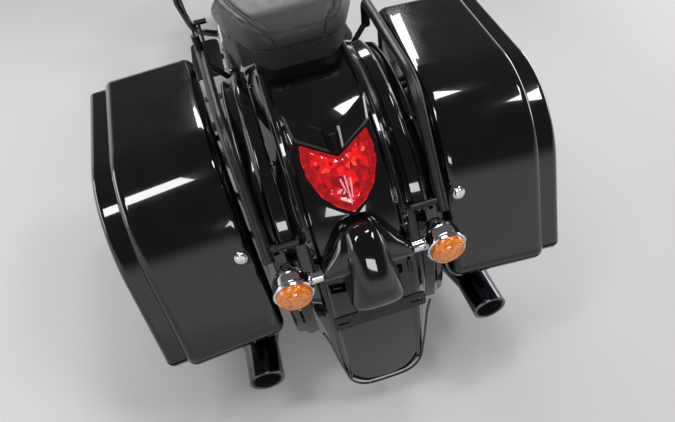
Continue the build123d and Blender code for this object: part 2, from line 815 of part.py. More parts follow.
# Pushrod tubes on the right, crossing up from the cam cover
cam_x = 92.0
cam_cover = side_plate([(742, 268, 50), (742, 420, 50), (930, 420, 50), (930, 268, 50)], cam_x, cam_x + 40)
cam_cover = fillet(cam_cover.faces().sort_by(Axis.X)[-1].edges(), 10)
pushrods = []
for angle, low_y in ((cylinder_half_angle, 872.0), (-cylinder_half_angle, 800.0)):
    for shift in (-14, 14):
        top = bank(angle).location * Pos(101, shift * 1.4, head_base + 16)
        foot = (cam_x + 20, low_y + shift, 412)
        tube = rod(foot, tuple(top.position), 9.5)
        pushrods.append(tube)
lifters = rod((cam_x + 20, 872, 405), (cam_x + 20, 872, 440), 25) + rod((cam_x + 20, 800, 405), (cam_x + 20, 800, 440), 25)
cam_cover += lifters
cam_cover -= case
tubes = []
for tube in pushrods:
    for solid in barrels + heads + [cam_cover]:
        tube -= solid
    tubes.append(biggest(tube))
keep("cylinders", Compound(children=barrels))
keep("cylinder_heads", Compound(children=heads))
keep("rocker_covers", Compound(children=covers))
cam_cover = biggest(cam_cover)
for tube in tubes:
    cam_cover += tube
keep("cam_cover_and_pushrods", biggest(cam_cover))

# Primary cover on the left, outside the belt
primary = side_plate(
    [(545, 262, 70), (545, 408, 70), (760, 428, 60), (1008, 446, 100), (1012, 236, 96), (760, 232, 60)], -182, -131
)
primary = fillet(primary.faces().sort_by(Axis.X)[0].edges(), 16)
spacer = side_plate([(655, 258, 30), (655, 404, 30), (985, 420, 70), (985, 258, 70)], -131, -100)
keep("primary_cover", primary + spacer)
gear_shaft = rod((-50, gearbox_y, gearbox_z), (belt_x, gearbox_y, gearbox_z), 20)
gear_pulley = rod((belt_x, gearbox_y, gearbox_z), (belt_x - belt_width, gearbox_y, gearbox_z), front_pulley_radius)
keep("engine_case", biggest(case + gear_pulley + gear_shaft))

# Air cleaner on the left between the cylinders
air_centre = (crank_y, 652.0)
air_cleaner = rod((-100, *air_centre), (-158, *air_centre), 84)
air_cleaner = fillet(air_cleaner.faces().sort_by(Axis.X)[0].edges(), 20)
air_cleaner += rod((-101, *air_centre), (-20, *air_centre), 26)
air_cleaner += side_plate(
    [
        (crank_y - 108, air_centre[1] - 22, 12),
        (crank_y - 108, air_centre[1] + 22, 12),
        (crank_y + 108, air_centre[1] + 22, 12),
        (crank_y + 108, air_centre[1] - 22, 12),
    ],
    -104,
    -84,
)
for solid in heads + barrels + covers:
    air_cleaner -= solid
keep("air_cleaner", biggest(air_cleaner))

# Exhaust: two headers to the right, a crossover to the left, two mufflers
collector_x = 172.0
collector_z = 205.0
muffler_start_y = tailpipe_y + muffler_length
muffler_start_z = 222.0
front_header = pipe(
    [
        (50, 990, 606),
        (56, 1070, 566),
        (132, 1112, 476),
        (collector_x, 1062, 330),
        (collector_x, 962, collector_z),
        (collector_x, 560, collector_z),
        (tailpipe_x, muffler_start_y + 60, muffler_start_z - 1),
        (tailpipe_x, muffler_start_y, muffler_start_z),
    ],
    [36, 50, 60, 60, 90, 30],
    header_radius,
)
rear_header = pipe(
    [(50, 672, 606), (128, 655, 590), (178, 636, 470), (178, 632, 300), (collector_x, 540, collector_z)],
    [34, 50, 60],
    header_radius - 2,
)
crossover = pipe(
    [
        (collector_x, 640, collector_z),
        (150, 600, 182),
        (-118, 600, 179),
        (-205, 470, 195),
        (-tailpipe_x, muffler_start_y + 60, muffler_start_z - 1),
        (-tailpipe_x, muffler_start_y, muffler_start_z),
    ],
    [14, 60, 80, 30],
    header_radius - 2,
)
exhaust = front_header + rear_header + crossover
for solid in heads + [case, main_frame]:
    exhaust -= solid
muffler_start = Vector(tailpipe_x, muffler_start_y, muffler_start_z)
muffler_end = Vector(tailpipe_x, tailpipe_y, tailpipe_z)
muffler_run = (muffler_end - muffler_start).length
muffler_rows = [
    (0, 0, 0),
    (30, 0, 0),
    (muffler_radius, 70, 60),
    (muffler_radius, muffler_run - tailpipe_length - 60, 40),
    (tailpipe_radius, muffler_run - tailpipe_length, 0),
    (tailpipe_radius, muffler_run, 0),
    (tailpipe_bore, muffler_run, 0),
    (tailpipe_bore, muffler_run - 110, 0),
    (0, muffler_run - 110, 0),
]
muffler_frame = Plane(origin=muffler_start, x_dir=(1, 0, 0), z_dir=muffler_end - muffler_start)
muffler = muffler_frame.location * revolve(Plane.XZ * flat(muffler_rows), Axis.Z)
keep("exhaust_headers", biggest(exhaust - muffler - mirrored(muffler)))

# Fuel tank over the backbone
# Columns: y, half width, bottom z, top z, corner
tank_sections = [
    (tank_rear_y, 78.0, 778.0, 846.0, 26.0),
    (660.0, 116.0, 768.0, 902.0, 50.0),
    (800.0, 150.0, 764.0, 944.0, 72.0),
    (960.0, 162.0, 764.0, 962.0, 80.0),
    (1090.0, 146.0, 774.0, 962.0, 78.0),
    (1190.0, 92.0, 806.0, 938.0, 52.0),
]
tank_faces = []
for y, half, low, high, corner in tank_sections:
    plane = Plane(origin=(0, y, (low + high) / 2), x_dir=(1, 0, 0), z_dir=(0, -1, 0))
    tank_faces.append(plane * RectangleRounded(2 * half, high - low, corner))
tank = loft(tank_faces)
tunnel = side_plate([(500, 700, 0), (500, 826, 0), (1250, 848, 0), (1250, 700, 0)], -32, 32)
tank -= tunnel
tank = biggest(tank - main_frame)
for y in (700.0, 1130.0):
    z = 792 + (y - 640) * 0.032
    main_frame += at(0, y, z + 16) * Box(63.4, 40, 26)
main_frame -= tank
console = side_plate([(640, 880, 0), (640, 925, 20), (860, 978, 60), (1080, 985, 60), (1165, 950, 20), (1165, 900, 0)], -38, 38)
console -= tank
keep("fuel_tank", tank)
keep("tank_console", biggest(console))

# Seat: a rider's bucket and a passenger pad that ends on the fender
seat_top = extrude(
    flat(
        [
            (-92, 566, 30),
            (-166, 350, 110),
            (-134, 176, 50),
            (-138, 60, 90),
            (-86, -66, 64),
            (86, -66, 64),
            (138, 60, 90),
            (134, 176, 50),
            (166, 350, 110),
            (92, 566, 30),
        ]
    ),
    amount=1000,
)
seat_side = side_plate(
    [
        (-70, 768, 0),
        (-74, 798, 22),
        (-30, 834, 60),
        (96, 842, 60),
        (186, 812, 30),
        (248, 728, 60),
        (440, 722, 120),
        (566, 812, 0),
        (566, 690, 0),
        (206, 690, 0),
        (176, 722, 0),
        (80, 768, 0),
    ],
    -200,
    200,
)
seat = seat_top & seat_side
base_radius = fender_radius + 14.0
seat -= rod((-200, *fender_centre), (200, *fender_centre), base_radius)
seat = biggest(seat - tank - main_frame)
pan_top = extrude(
    flat(
        [
            (-84, 552, 30),
            (-152, 350, 100),
            (-122, 160, 40),
            (-118, 60, 80),
            (-72, -48, 54),
            (72, -48, 54),
            (118, 60, 80),
            (122, 160, 40),
            (152, 350, 100),
            (84, 552, 30),
        ]
    ),
    amount=1000,
)
pan = pan_top & side_plate([(160, 600, 0), (120, 700, 0), (120, 760, 0), (552, 690, 0), (552, 640, 0), (500, 600, 0)], -200, 200)
pan += pan_top & side_plate([(-60, 690, 0), (-60, 769, 0), (80, 769, 0), (200, 712, 0), (200, 660, 0)], -200, 200)
pan -= seat
pan -= fender_solid
pan -= main_frame
pan = biggest(pan)
keep("seat", seat)

# Side panels between fender and saddlebags, in two lengths with a small seam
panels = []
for first, arc, outer_x in side_panel_spans:
    panels.append(biggest(ring(side_panel_rows(outer_x), fender_centre, first, arc) - fender_solid))
side_panels = [s for panel in panels for s in panel.solids()]
side_panels += [mirrored(s) for s in side_panels]

# Tail lamp: a shield-shaped lens in a dark housing with two pointed ears
lamp_plane = on_fender(42.0, fender_radius - 14)
lens_half = [(0, 26, 4), (62, 64, 3), (64, 6, 30), (42, -42, 40), (0, -74, 12)]
lens_rows = lens_half + [(-x, y, r) for x, y, r in lens_half[-2:0:-1]]
house_half = [(0, 72, 6), (14, 82, 4), (78, 127, 3), (70, 72, 8), (72, 4, 30), (47, -48, 40), (0, -82, 14)]
house_rows = house_half + [(-x, y, r) for x, y, r in house_half[-2:0:-1]]
lamp_lens = lamp_plane.location * extrude(flat(lens_rows), amount=32)
lamp_housing = lamp_plane.location * extrude(flat(house_rows), amount=26)
lamp_lens -= fender_solid
lamp_housing = lamp_housing - fender_solid - lamp_lens
lamp_lens = biggest(lamp_lens)
keep("tail_lamp_housing", biggest(lamp_housing))

# Hooded nacelle with the bar that carries the rear signals
nacelle_plane = on_fender(62.0, fender_radius - 20)
shoulders = extrude(
    flat([(-76, -40, 12), (76, -40, 12), (78, -2, 12), (34, 62, 20), (-34, 62, 20), (-78, -2, 12)]), amount=66
)
shoulders = fillet(shoulders.faces().sort_by(Axis.Z)[-1].edges(), 16)
hood = extrude(flat([(-22, 58, 16), (22, 58, 16), (42, -88, 24), (-42, -88, 24)]), amount=110)
hood &= side_plate(
    [(60, 0, 0), (58, 34, 16), (14, 88, 50), (-56, 104, 40), (-90, 96, 20), (-92, 52, 16), (-60, 0, 0)], -60, 60
)
hood = fillet(hood.faces().filter_by(lambda f: f.normal_at().Z > 0.4).edges(), 7)
nacelle = nacelle_plane.location * (shoulders + hood) - fender_solid
signal_bar = rod((-signal_half_spacing, signal_y + 8, signal_z), (signal_half_spacing, signal_y + 8, signal_z), 9)
shell_rows = [(0, 62, 0), (16, 60, 10), (signal_radius, 26, 30), (signal_radius, 0, 0), (0, 0, 0)]
shell = Plane(
    origin=(signal_half_spacing, signal_y - 12, signal_z), x_dir=(1, 0, 0), z_dir=(0, 1, 0)
).location * revolve(Plane.XZ * flat(shell_rows), Axis.Z)
lens_rows = [(0, 0, 0), (signal_radius - 2, 0, 0), (signal_radius - 4, 12, 8), (0, 18, 0)]
signal_lens = Plane(
    origin=(signal_half_spacing, signal_y - 12, signal_z), x_dir=(1, 0, 0), z_dir=(0, -1, 0)
).location * revolve(Plane.XZ * flat(lens_rows), Axis.Z)
signal_bar = signal_bar - shell - mirrored(shell)
signal_bar = biggest(signal_bar + shell + mirrored(shell))
keep("signal_bar", signal_bar)
keep("signal_lenses", both(signal_lens))
keep("tail_nacelle", biggest(nacelle - signal_bar - lamp_lens - nodes["tail_lamp_housing"]))

# Licence plate bracket under the nacelle
bracket_tilt = 14.0
bracket_plane = Plane(
    origin=(0, -437, 428), x_dir=(1, 0, 0), z_dir=(0, -cos(radians(bracket_tilt)), sin(radians(bracket_tilt)))
)
bracket_rows = [(-88, -15, 6), (88, -15, 6), (88, 15, 6), (40, 15, 4), (40, 60, 4), (-40, 60, 4), (-40, 15, 4), (-88, 15, 6)]
bracket = extrude(flat(bracket_rows), amount=5)
for x in (-70, 70):
    bracket -= Pos(x, 0, 0) * extrude(SlotOverall(22, 7), amount=5)
bracket = bracket_plane.location * bracket
stay = side_plate([(-432, 460, 4), (-380, 460, 4), (-380, 496, 4), (-432, 496, 4)], -34, 34)
bracket += stay
bracket = bracket - nodes["tail_nacelle"] - fender_solid
keep("plate_bracket", biggest(bracket))

# Saddlebags: a hollow body and a lid that opens outward, in a frame that runs along each bag
bag_rows = [(250, 325, 50), (232, 678, 34), (-215, 662, 250), (-382, 294, 40)]
bag_mid_x = bag_inner_x + bag_width
bag_outer_x = bag_mid_x + bag_panel_depth
toe = at(bag_inner_x, -337, 0) * Rotation(0, 0, -bag_toe) * at(-bag_inner_x, 337, 0)
side_face = Plane(origin=(0, 0, 0), x_dir=(0, 1, 0), z_dir=(1, 0, 0))


def bag_solid(wall):
    face = flat(bag_rows)
    main = offset(face, -wall) if wall else face
    main = extrude(side_face * main, amount=bag_width - 2 * wall)
    main = fillet(main.faces().sort_by(Axis.X)[0].edges(), bag_edge_radius - wall)
    main = fillet(main.faces().sort_by(Axis.X)[-1].edges(), bag_edge_radius - wall - 6)
    panel = offset(face, -bag_panel_inset - wall)
    panel = extrude(side_face * panel, amount=bag_panel_depth + 40)
    panel = fillet(panel.faces().sort_by(Axis.X)[-1].edges(), 14 - wall)
    return at(bag_inner_x + wall, 0, 0) * main + at(bag_mid_x - 40 - wall, 0, 0) * panel


seam_rise = atan2(lid_seam_front_z - lid_seam_rear_z, bag_rows[1][0] - bag_rows[3][0])
seam_up = Vector(0, -sin(seam_rise), cos(seam_rise))
seam_plane = Plane(
    origin=(bag_outer_x, (bag_rows[1][0] + bag_rows[3][0]) / 2, (lid_seam_front_z + lid_seam_rear_z) / 2),
    x_dir=(1, 0, 0),
    z_dir=seam_up,
)
bag_outer = bag_solid(0)
bag_shell = bag_outer - bag_solid(bag_wall)
top_space = seam_plane.location * (Pos(0, 0, lid_gap / 2 + 500) * Box(1600, 1600, 1000))
low_space = seam_plane.location * (Pos(0, 0, -lid_gap / 2 - 500) * Box(1600, 1600, 1000))
bag_body = biggest(bag_shell & low_space)
bag_lid = biggest(bag_shell & top_space)

# Hinge on the outer side, ahead of the middle: a pin between two posts, a knuckle on the lid
hinge_out = 14.0
hinge_forward = 150.0
hinge_half = 50.0
hinge_pin = 4.0
pin = rod((hinge_out, -hinge_half - 14, 0), (hinge_out, hinge_half + 14, 0), hinge_pin)
posts = Box(hinge_out + 8, 14, 32, align=(Align.MIN, Align.CENTER, Align.MIN))
hinge = pin
for side in (-1, 1):
    hinge += Pos(0, side * (hinge_half + 7), -25) * posts
knuckle = rod((hinge_out, -hinge_half + 6, 0), (hinge_out, hinge_half - 6, 0), 8)
knuckle += Pos(0, 0, 4) * Box(hinge_out + 4, 2 * hinge_half - 12, 24, align=(Align.MIN, Align.CENTER, Align.MIN))
knuckle -= rod((hinge_out, -hinge_half, 0), (hinge_out, hinge_half, 0), hinge_pin + 0.2)
hinge -= Pos(0, 0, -3) * Box(8, 200, 40, align=(Align.MIN, Align.CENTER, Align.MIN))
hinge_place = seam_plane.location * Pos(0, hinge_forward, 0)
hinge = hinge_place * hinge - bag_outer
knuckle = biggest(hinge_place * knuckle - bag_outer)
bag_lid += knuckle
bag_body, bag_lid, hinge, bag_outer_toed = [toe * s for s in (bag_body, bag_lid, hinge, bag_outer)]
reflector = at(bag_outer_x, -255, 348) * Box(5, 52, 20, align=(Align.MIN, Align.CENTER, Align.CENTER))
reflector = toe * (reflector - bag_outer)
keep("saddlebags", both(bag_body))
keep("lid_right", bag_lid)
keep("lid_left", mirrored(bag_lid))
keep("lid_hinges", both(hinge))
keep("red_lenses", Compound(children=[*lamp_lens.solids(), *both(reflector).solids()]))

# Black rails along the inner top edges of the bags, with stubs to frame and fender
bag_rail = pipe([(202, 214, 640), (202, 206, 706), (180, -160, 706), (170, -330, 520)], [30, 110], 11)
stubs = [
    ((202, 211, 650), (146, 200, 590)),
    ((172, -314, 536), (104, -314, 536)),
]
for start, end in stubs:
    bag_rail += rod(start, end, 7)
bag_rail -= bag_outer_toed
bag_rail -= main_frame
bag_rail -= fender_solid
for panel in panels:
    bag_rail -= panel
bag_rail = biggest(bag_rail)
antenna_foot = (-198.0, 150.0, 706.0)
antenna = rod(antenna_foot, (-198, 150, 748), 9) + rod((-198, 150, 740), (-205, 180, 1080), 2.2)
keep("bag_rails", Compound(children=[bag_rail, biggest(mirrored(bag_rail) + antenna)]))

# Stays from the frame's rails to the bags, and a hanger to each muffler
hanger = rod((rail_x, 150, 590), (rail_x + 40, 120, 330), 8) + rod((rail_x + 40, 120, 330), (tailpipe_x, 60, 240), 8)
stay_reach = 110.0
for y, low_z in ((180.0, 470.0), (-120.0, 390.0)):
    z = 600 - (400 - y) * 38 / 560
    hanger += pipe([(rail_x, y, z), (rail_x + 10, y, low_z), (rail_x + stay_reach, y, low_z - 20)], [16], 9)
hanger = hanger - main_frame - muffler - bag_outer_toed - fender_solid
stays = [s for s in hanger.solids() if s.volume > 2000]
stays += [mirrored(s) for s in stays]
keep("stays_and_hangers", Compound(children=stays))
keep("mufflers", both(muffler))

# Shock absorbers between swingarm and rails
shock = rod((arm_x + 2, 70, 300), (rail_x, 46, 600), 21)
shock = shock - swingarm - main_frame - nodes["rear_fender"] - fender_solid
keep("rear_shocks", both(biggest(shock)))

# Battery box and side covers
battery = side_plate([(345, 376, 14), (345, 612, 20), (462, 606, 14), (462, 376, 14)], -88, 88)
battery -= main_frame
battery -= seat
keep("seat_base", biggest(pan + biggest(battery)))
cover = side_plate([(206, 400, 50), (186, 610, 40), (436, 606, 30), (452, 430, 60), (400, 376, 40)], 130, 154)
cover -= main_frame
cover -= nodes["seat_base"]
cover -= hanger
cover -= bag_rail
cover = biggest(cover)
keep("side_covers", Compound(children=[cover, mirrored(cover), *side_panels]))

# Footboards, passenger pegs and foot controls
board_x = 264.0
board_z = 270.0
board = extrude(Plane.XY.offset(board_z) * (Pos(board_x, 985, 0) * RectangleRounded(118, 290, 34)), amount=16)
board_arm = rod((cradle_x, 1046, 188), (board_x - 10, 1046, board_z - 8), 11)
board_arm = board_arm - main_frame - board - nodes["exhaust_headers"]
board_arm = biggest(board_arm)
pedal = pipe(
    [(board_x, 1116, board_z + 10), (board_x, 1146, board_z + 62), (board_x, 1186, board_z + 74)], [18], 6.5
)
pedal += rod((board_x - 34, 1186, board_z + 74), (board_x + 18, 1186, board_z + 74), 11)
pedal -= board
pedal = biggest(pedal)
keep("board_arms_and_pedals", Compound(children=[*both(board_arm).solids(), *both(pedal).solids()]))
peg = rod((arm_x + arm_half, 462, 300), (arm_x + arm_half + 34, 462, 306), 9)
peg += rod((arm_x + arm_half + 30, 462, 306), (arm_x + arm_half + 118, 462, 308), 15)
peg = biggest(peg - nodes["swingarm"] - pivot_shaft)
keep("footboards_and_pegs", Compound(children=[*both(board).solids(), *both(peg).solids()]))

# Engine guard: one bent tube on each side, from the down tube round to the cradle
guard = pipe([(38, 1262, 580), (298, 1262, 572), (326, 1248, 420), (296, 1222, 296), (72, 1108, 262)], [50, 70, 60], 14)
guard -= main_frame
keep("engine_guards", both(biggest(guard)))

# Parking pose: the steering turned to its left stop, then the machine pitched and leaned until
# both tyres rest on the floor
turn = fork_frame.location * Rotation(0, 0, steering_lock) * fork_frame.location.inverse()


def leaned(pitch, lift=0.0):
    return Pos(0, 0, lift) * Rotation(0, -lean_angle, 0) * Rotation(pitch, 0, 0)


def moved(where, point):
    return (where * Pos(*point)).position


def moved_way(where, way):
    return moved(where, way) - where.position


def tyre_bottom(where, centre, radius, crown_radius):
    middle = moved(where, centre)
    axle = moved_way(where, (1, 0, 0))
    return middle.Z - (radius - crown_radius) * (1 - axle.Z**2) ** 0.5 - crown_radius


def tyre_bottoms(pitch):
    rear = tyre_bottom(leaned(pitch), rear_axle, rear_tyre_radius, rear_crown_radius)
    front = tyre_bottom(leaned(pitch) * turn, front_axle, front_tyre_radius, front_crown_radius)
    return rear, front


low_pitch, high_pitch = -3.0, 3.0
for _ in range(60):
    pitch = (low_pitch + high_pitch) / 2
    rear_low, front_low = tyre_bottoms(pitch)
    if front_low > rear_low:
        high_pitch = pitch
    else:
        low_pitch = pitch
parked = leaned(pitch, -tyre_bottoms(pitch)[0])

# Side stand, worked out on the level floor: leg, foot pad and hub on a clevis under the frame
hub_at = moved(parked, stand_pivot)
foot_at = moved(parked, (stand_foot_x, stand_foot_y, -stand_foot_x * tan(radians(lean_angle))))
foot_at = Vector(foot_at.X, foot_at.Y, 0)
leg_way = (foot_at - hub_at).normalized()
folded_way = moved_way(parked, (-0.22, -0.97, -0.08)).normalized()
stand_axis = leg_way.cross(folded_way).normalized()
stand_swing = leg_way.get_signed_angle(folded_way, stand_axis)
away = (leg_way + folded_way).normalized() * -1
hub_frame = Plane(origin=hub_at, x_dir=away, z_dir=stand_axis)
hub_pin = 8.0
hub_half = 13.0
ankle = foot_at + Vector(0, 0, stand_foot_thickness) - leg_way * 2
leg = rod(tuple(hub_at), tuple(ankle), stand_radius)
pad = Pos(*foot_at) * Cylinder(stand_foot_radius, stand_foot_thickness, align=bottom)
hub = hub_frame.location * Cylinder(18, 2 * hub_half)
stand = leg + pad + hub - Pos(foot_at.X, foot_at.Y, -50) * Box(400, 400, 100)
stand -= hub_frame.location * Cylinder(hub_pin + 0.2, 80)
ear = extrude(flat([(-17, -17, 16), (-17, 17, 16), (56, 17, 0), (56, -17, 0)]), amount=9)
clevis = Pos(0, 0, hub_half + 3) * ear + Pos(0, 0, -hub_half - 12) * ear
clevis += Pos(41, 0, 0) * Box(30, 34, 2 * hub_half + 24)
clevis += Cylinder(hub_pin, 2 * hub_half + 24)
clevis = parked.inverse() * (hub_frame.location * clevis)
clevis_mid = moved(parked.inverse() * hub_frame.location, (44, 0, 0))
main_frame += clevis + rod(tuple(clevis_mid), (-cradle_x, clevis_mid.Y - 10, cradle_z), 13)
main_frame -= nodes["engine_case"]
main_frame -= nodes["primary_cover"]
keep("side_stand", parked.inverse() * biggest(stand))
keep("main_frame", biggest(main_frame))

# Put every node in the parking pose, with the origin at the middle of the bottom
standing = {}
for name, shape in nodes.items():
    where = parked * turn if name in steered else parked
    standing[name] = where * shape
boxes = [shape.bounding_box() for shape in standing.values()]
middle_x = (min(b.min.X for b in boxes) + max(b.max.X for b in boxes)) / 2
middle_y = (min(b.min.Y for b in boxes) + max(b.max.Y for b in boxes)) / 2
centred = Pos(-middle_x, -middle_y, 0)
body_place = centred * parked
steered_place = centred * parked * turn

if __name__ == "__main__":
    os.makedirs("parts", exist_ok=True)
    for name, shape in standing.items():
        export_step(centred * shape, f"parts/{name}.step")
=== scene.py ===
import json
import math

import bmesh
import bpy
import numpy as np
from mathutils import Matrix, Vector
from mathutils.bvhtree import BVHTree


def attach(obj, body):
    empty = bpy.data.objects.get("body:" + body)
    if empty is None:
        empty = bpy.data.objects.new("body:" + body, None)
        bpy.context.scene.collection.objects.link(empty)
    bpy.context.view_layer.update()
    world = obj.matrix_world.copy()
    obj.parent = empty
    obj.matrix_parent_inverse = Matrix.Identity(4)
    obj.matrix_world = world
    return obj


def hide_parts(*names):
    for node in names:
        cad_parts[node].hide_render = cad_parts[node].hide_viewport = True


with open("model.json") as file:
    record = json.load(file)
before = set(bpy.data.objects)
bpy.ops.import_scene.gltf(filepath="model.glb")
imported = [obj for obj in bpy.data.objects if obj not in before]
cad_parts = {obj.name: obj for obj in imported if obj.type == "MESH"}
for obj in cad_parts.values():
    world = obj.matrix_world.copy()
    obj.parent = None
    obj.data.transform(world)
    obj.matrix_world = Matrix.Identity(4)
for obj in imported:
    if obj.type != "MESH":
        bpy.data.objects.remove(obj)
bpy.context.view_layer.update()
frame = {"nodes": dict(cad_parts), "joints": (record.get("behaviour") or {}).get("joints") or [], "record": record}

scene = bpy.context.scene
nodes = frame["nodes"]
joints = {joint["name"]: joint for joint in frame["joints"]}
print("stage: frame loaded,", len(nodes), "nodes")

# The machine's own upright frame: X to the rider's right, Y forward, Z up, millimetres,
# zero on the floor under the rear axle. Two places take it to the parked pose.
bikeSizes = {
    "rake": 29.0,
    "rearAxle": (0.0, 0.0, 311.0),
    "frontAxle": (0.0, 1668.0, 319.0),
    "forkOffset": 25.0,
    "fenderCentre": (-5.0, 337.0),
    "fenderRadius": 400.0,
}


def placeFrom(axleJoint, axlePoint):
    rake = math.radians(bikeSizes["rake"])
    right = Vector(axleJoint["axis"]).normalized()
    up = -Vector(joints["steering"]["axis"]).normalized()
    side = right.cross(up)
    forward = -math.sin(rake) * up - math.cos(rake) * side
    top = math.cos(rake) * up - math.sin(rake) * side
    turn = Matrix((right, forward, top)).transposed()
    origin = Vector(axleJoint["pos_m"]) - turn @ (Vector(axlePoint) / 1000)
    return Matrix.Translation(origin) @ turn.to_4x4() @ Matrix.Diagonal((0.001, 0.001, 0.001, 1))


bodyPlace = placeFrom(joints["rear_wheel_spin"], bikeSizes["rearAxle"])
steerPlace = placeFrom(joints["front_wheel_spin"], bikeSizes["frontAxle"])

# Camera above and behind the tail, measured in metres from the rear axle
cameraSetup = {
    "fromRearAxle": (-0.2745, -0.8695, 0.8562),
    "right": (0.96166, -0.26688, 0.06318),
    "up": (0.14629, 0.69403, 0.70492),
    "back": (-0.23198, -0.66865, 0.70646),
    "focalPixels": 470.0,
    "imageWidth": 675,
    "sensorWidth": 36.0,
    "nearClip": 0.02,
}


def makeCamera(setup):
    data = bpy.data.cameras.new("camera")
    data.sensor_width = setup["sensorWidth"]
    data.lens = setup["focalPixels"] / setup["imageWidth"] * setup["sensorWidth"]
    data.clip_start = setup["nearClip"]
    camera = bpy.data.objects.new("camera", data)
    turn = Matrix((setup["right"], setup["up"], setup["back"])).transposed().to_4x4()
    spot = Vector(joints["rear_wheel_spin"]["pos_m"]) + Vector(setup["fromRearAxle"])
    camera.matrix_world = Matrix.Translation(spot) @ turn
    scene.collection.objects.link(camera)
    scene.camera = camera


makeCamera(cameraSetup)


# Colours and materials; pattern sizes are in millimetres on the real machine
def hexColour(code):
    values = [int(code[i : i + 2], 16) / 255 for i in (1, 3, 5)]
    return tuple(v / 12.92 if v <= 0.04045 else ((v + 0.055) / 1.055) ** 2.4 for v in values) + (1.0,)


def addNode(tree, kind, inputs=None, **settings):
    node = tree.nodes.new(kind)
    for name, value in settings.items():
        setattr(node, name, value)
    for name, value in (inputs or {}).items():
        if isinstance(value, bpy.types.NodeSocket):
            tree.links.new(value, node.inputs[name])
        else:
            node.inputs[name].default_value = value
    return node


def perMetre(sizeMm):
    return 1000.0 / sizeMm


def newMaterial(name, colour, roughness, **sockets):
    mat = bpy.data.materials.new(name)
    mat.use_nodes = True
    tree = mat.node_tree
    shader = tree.nodes["Principled BSDF"]
    shader.inputs["Base Color"].default_value = hexColour(colour)
    shader.inputs["Roughness"].default_value = roughness
    for socket, value in sockets.items():
        shader.inputs[socket.replace("_", " ")].default_value = value
    spot = addNode(tree, "ShaderNodeTexCoord").outputs["Object"]
    return mat, tree, shader, spot


def setStops(ramp, *stops):
    # Colour stops as (place, colour) pairs; a ramp starts with two
    elements = ramp.color_ramp.elements
    for i, (place, code) in enumerate(stops):
        stop = elements[i] if i < 2 else elements.new(place)
        stop.position, stop.color = place, hexColour(code)


def colourPatches(tree, shader, spot, sizeMm, first, second):
    noise = addNode(tree, "ShaderNodeTexNoise", {"Vector": spot, "Scale": perMetre(sizeMm), "Detail": 3.0})
    ramp = addNode(tree, "ShaderNodeValToRGB", {"Fac": noise.outputs["Fac"]})
    setStops(ramp, (0.4, first), (0.6, second))
    tree.links.new(ramp.outputs["Color"], shader.inputs["Base Color"])


def roughPatches(tree, shader, spot, sizeMm, low, high):
    noise = addNode(tree, "ShaderNodeTexNoise", {"Vector": spot, "Scale": perMetre(sizeMm), "Detail": 4.0})
    span = addNode(tree, "ShaderNodeMapRange", {"Value": noise.outputs["Fac"], "From Min": 0.3,
                                                "From Max": 0.7, "To Min": low, "To Max": high})
    tree.links.new(span.outputs["Result"], shader.inputs["Roughness"])


def raisedBy(tree, shader, height, strength, depthMm, under=None):
    # Bump from a height socket, laid over an earlier bump where one is given
    inputs = {"Height": height, "Strength": strength, "Distance": depthMm / 1000}
    if under is not None:
        inputs["Normal"] = under
    bump = addNode(tree, "ShaderNodeBump", inputs)
    tree.links.new(bump.outputs["Normal"], shader.inputs["Normal"])
    return bump.outputs["Normal"]


def ripple(tree, shader, spot, sizeMm, strength, depthMm, under=None):
    noise = addNode(tree, "ShaderNodeTexNoise", {"Vector": spot, "Scale": perMetre(sizeMm), "Detail": 2.0})
    raisedBy(tree, shader, noise.outputs["Fac"], strength, depthMm, under)


def glossPaint(name, colour, haze):
    # Black enamel under clear lacquer: mirror gloss with the faint ripple of sprayed paint
    mat, tree, shader, spot = newMaterial(name, colour, 0.12, Coat_Weight=1.0, Coat_Roughness=0.02, IOR=1.5,
                                          Specular_IOR_Level=0.1)
    colourPatches(tree, shader, spot, sizeMm=60, first=colour, second=haze)
    roughPatches(tree, shader, spot, sizeMm=45, low=0.08, high=0.17)
    ripple(tree, shader, spot, sizeMm=9.0, strength=0.05, depthMm=0.12)
    return mat


def powderCoat(name, colour, light, rough):
    # Baked powder on steel or cast alloy: even satin with a fine pimple
    mat, tree, shader, spot = newMaterial(name, colour, rough, IOR=1.5)
    colourPatches(tree, shader, spot, sizeMm=30, first=colour, second=light)
    roughPatches(tree, shader, spot, sizeMm=12, low=rough - 0.06, high=rough + 0.1)
    ripple(tree, shader, spot, sizeMm=1.6, strength=0.35, depthMm=0.12)
    return mat


def plating(name, colour, tint, low, high):
    # Electroplated steel: clean mirror with faint haze where hands and heat have been
    mat, tree, shader, spot = newMaterial(name, colour, low, Metallic=1.0)
    colourPatches(tree, shader, spot, sizeMm=70, first=colour, second=tint)
    roughPatches(tree, shader, spot, sizeMm=25, low=low, high=high)
    return mat


def turnedSteel(name, colour, tint):
    # Ground steel or alloy: fine parallel scratches that stretch the highlight
    mat, tree, shader, spot = newMaterial(name, colour, 0.3, Metallic=1.0, Anisotropic=0.5)
    drawn = addNode(tree, "ShaderNodeMapping", {"Vector": spot, "Scale": (1.0, 1.0, 14.0)}).outputs["Vector"]
    colourPatches(tree, shader, drawn, sizeMm=14, first=colour, second=tint)
    roughPatches(tree, shader, drawn, sizeMm=5, low=0.22, high=0.42)
    ripple(tree, shader, drawn, sizeMm=6.0, strength=0.15, depthMm=0.05)
    return mat


def mouldedRubber(name, colour, light, grainMm, rough):
    # Moulded rubber or textured plastic: dull, a little grey where it has been handled
    mat, tree, shader, spot = newMaterial(name, colour, rough, IOR=1.5)
    colourPatches(tree, shader, spot, sizeMm=20, first=colour, second=light)
    roughPatches(tree, shader, spot, sizeMm=8, low=rough - 0.08, high=rough + 0.08)
    ripple(tree, shader, spot, sizeMm=grainMm, strength=0.4, depthMm=0.15)
    return mat


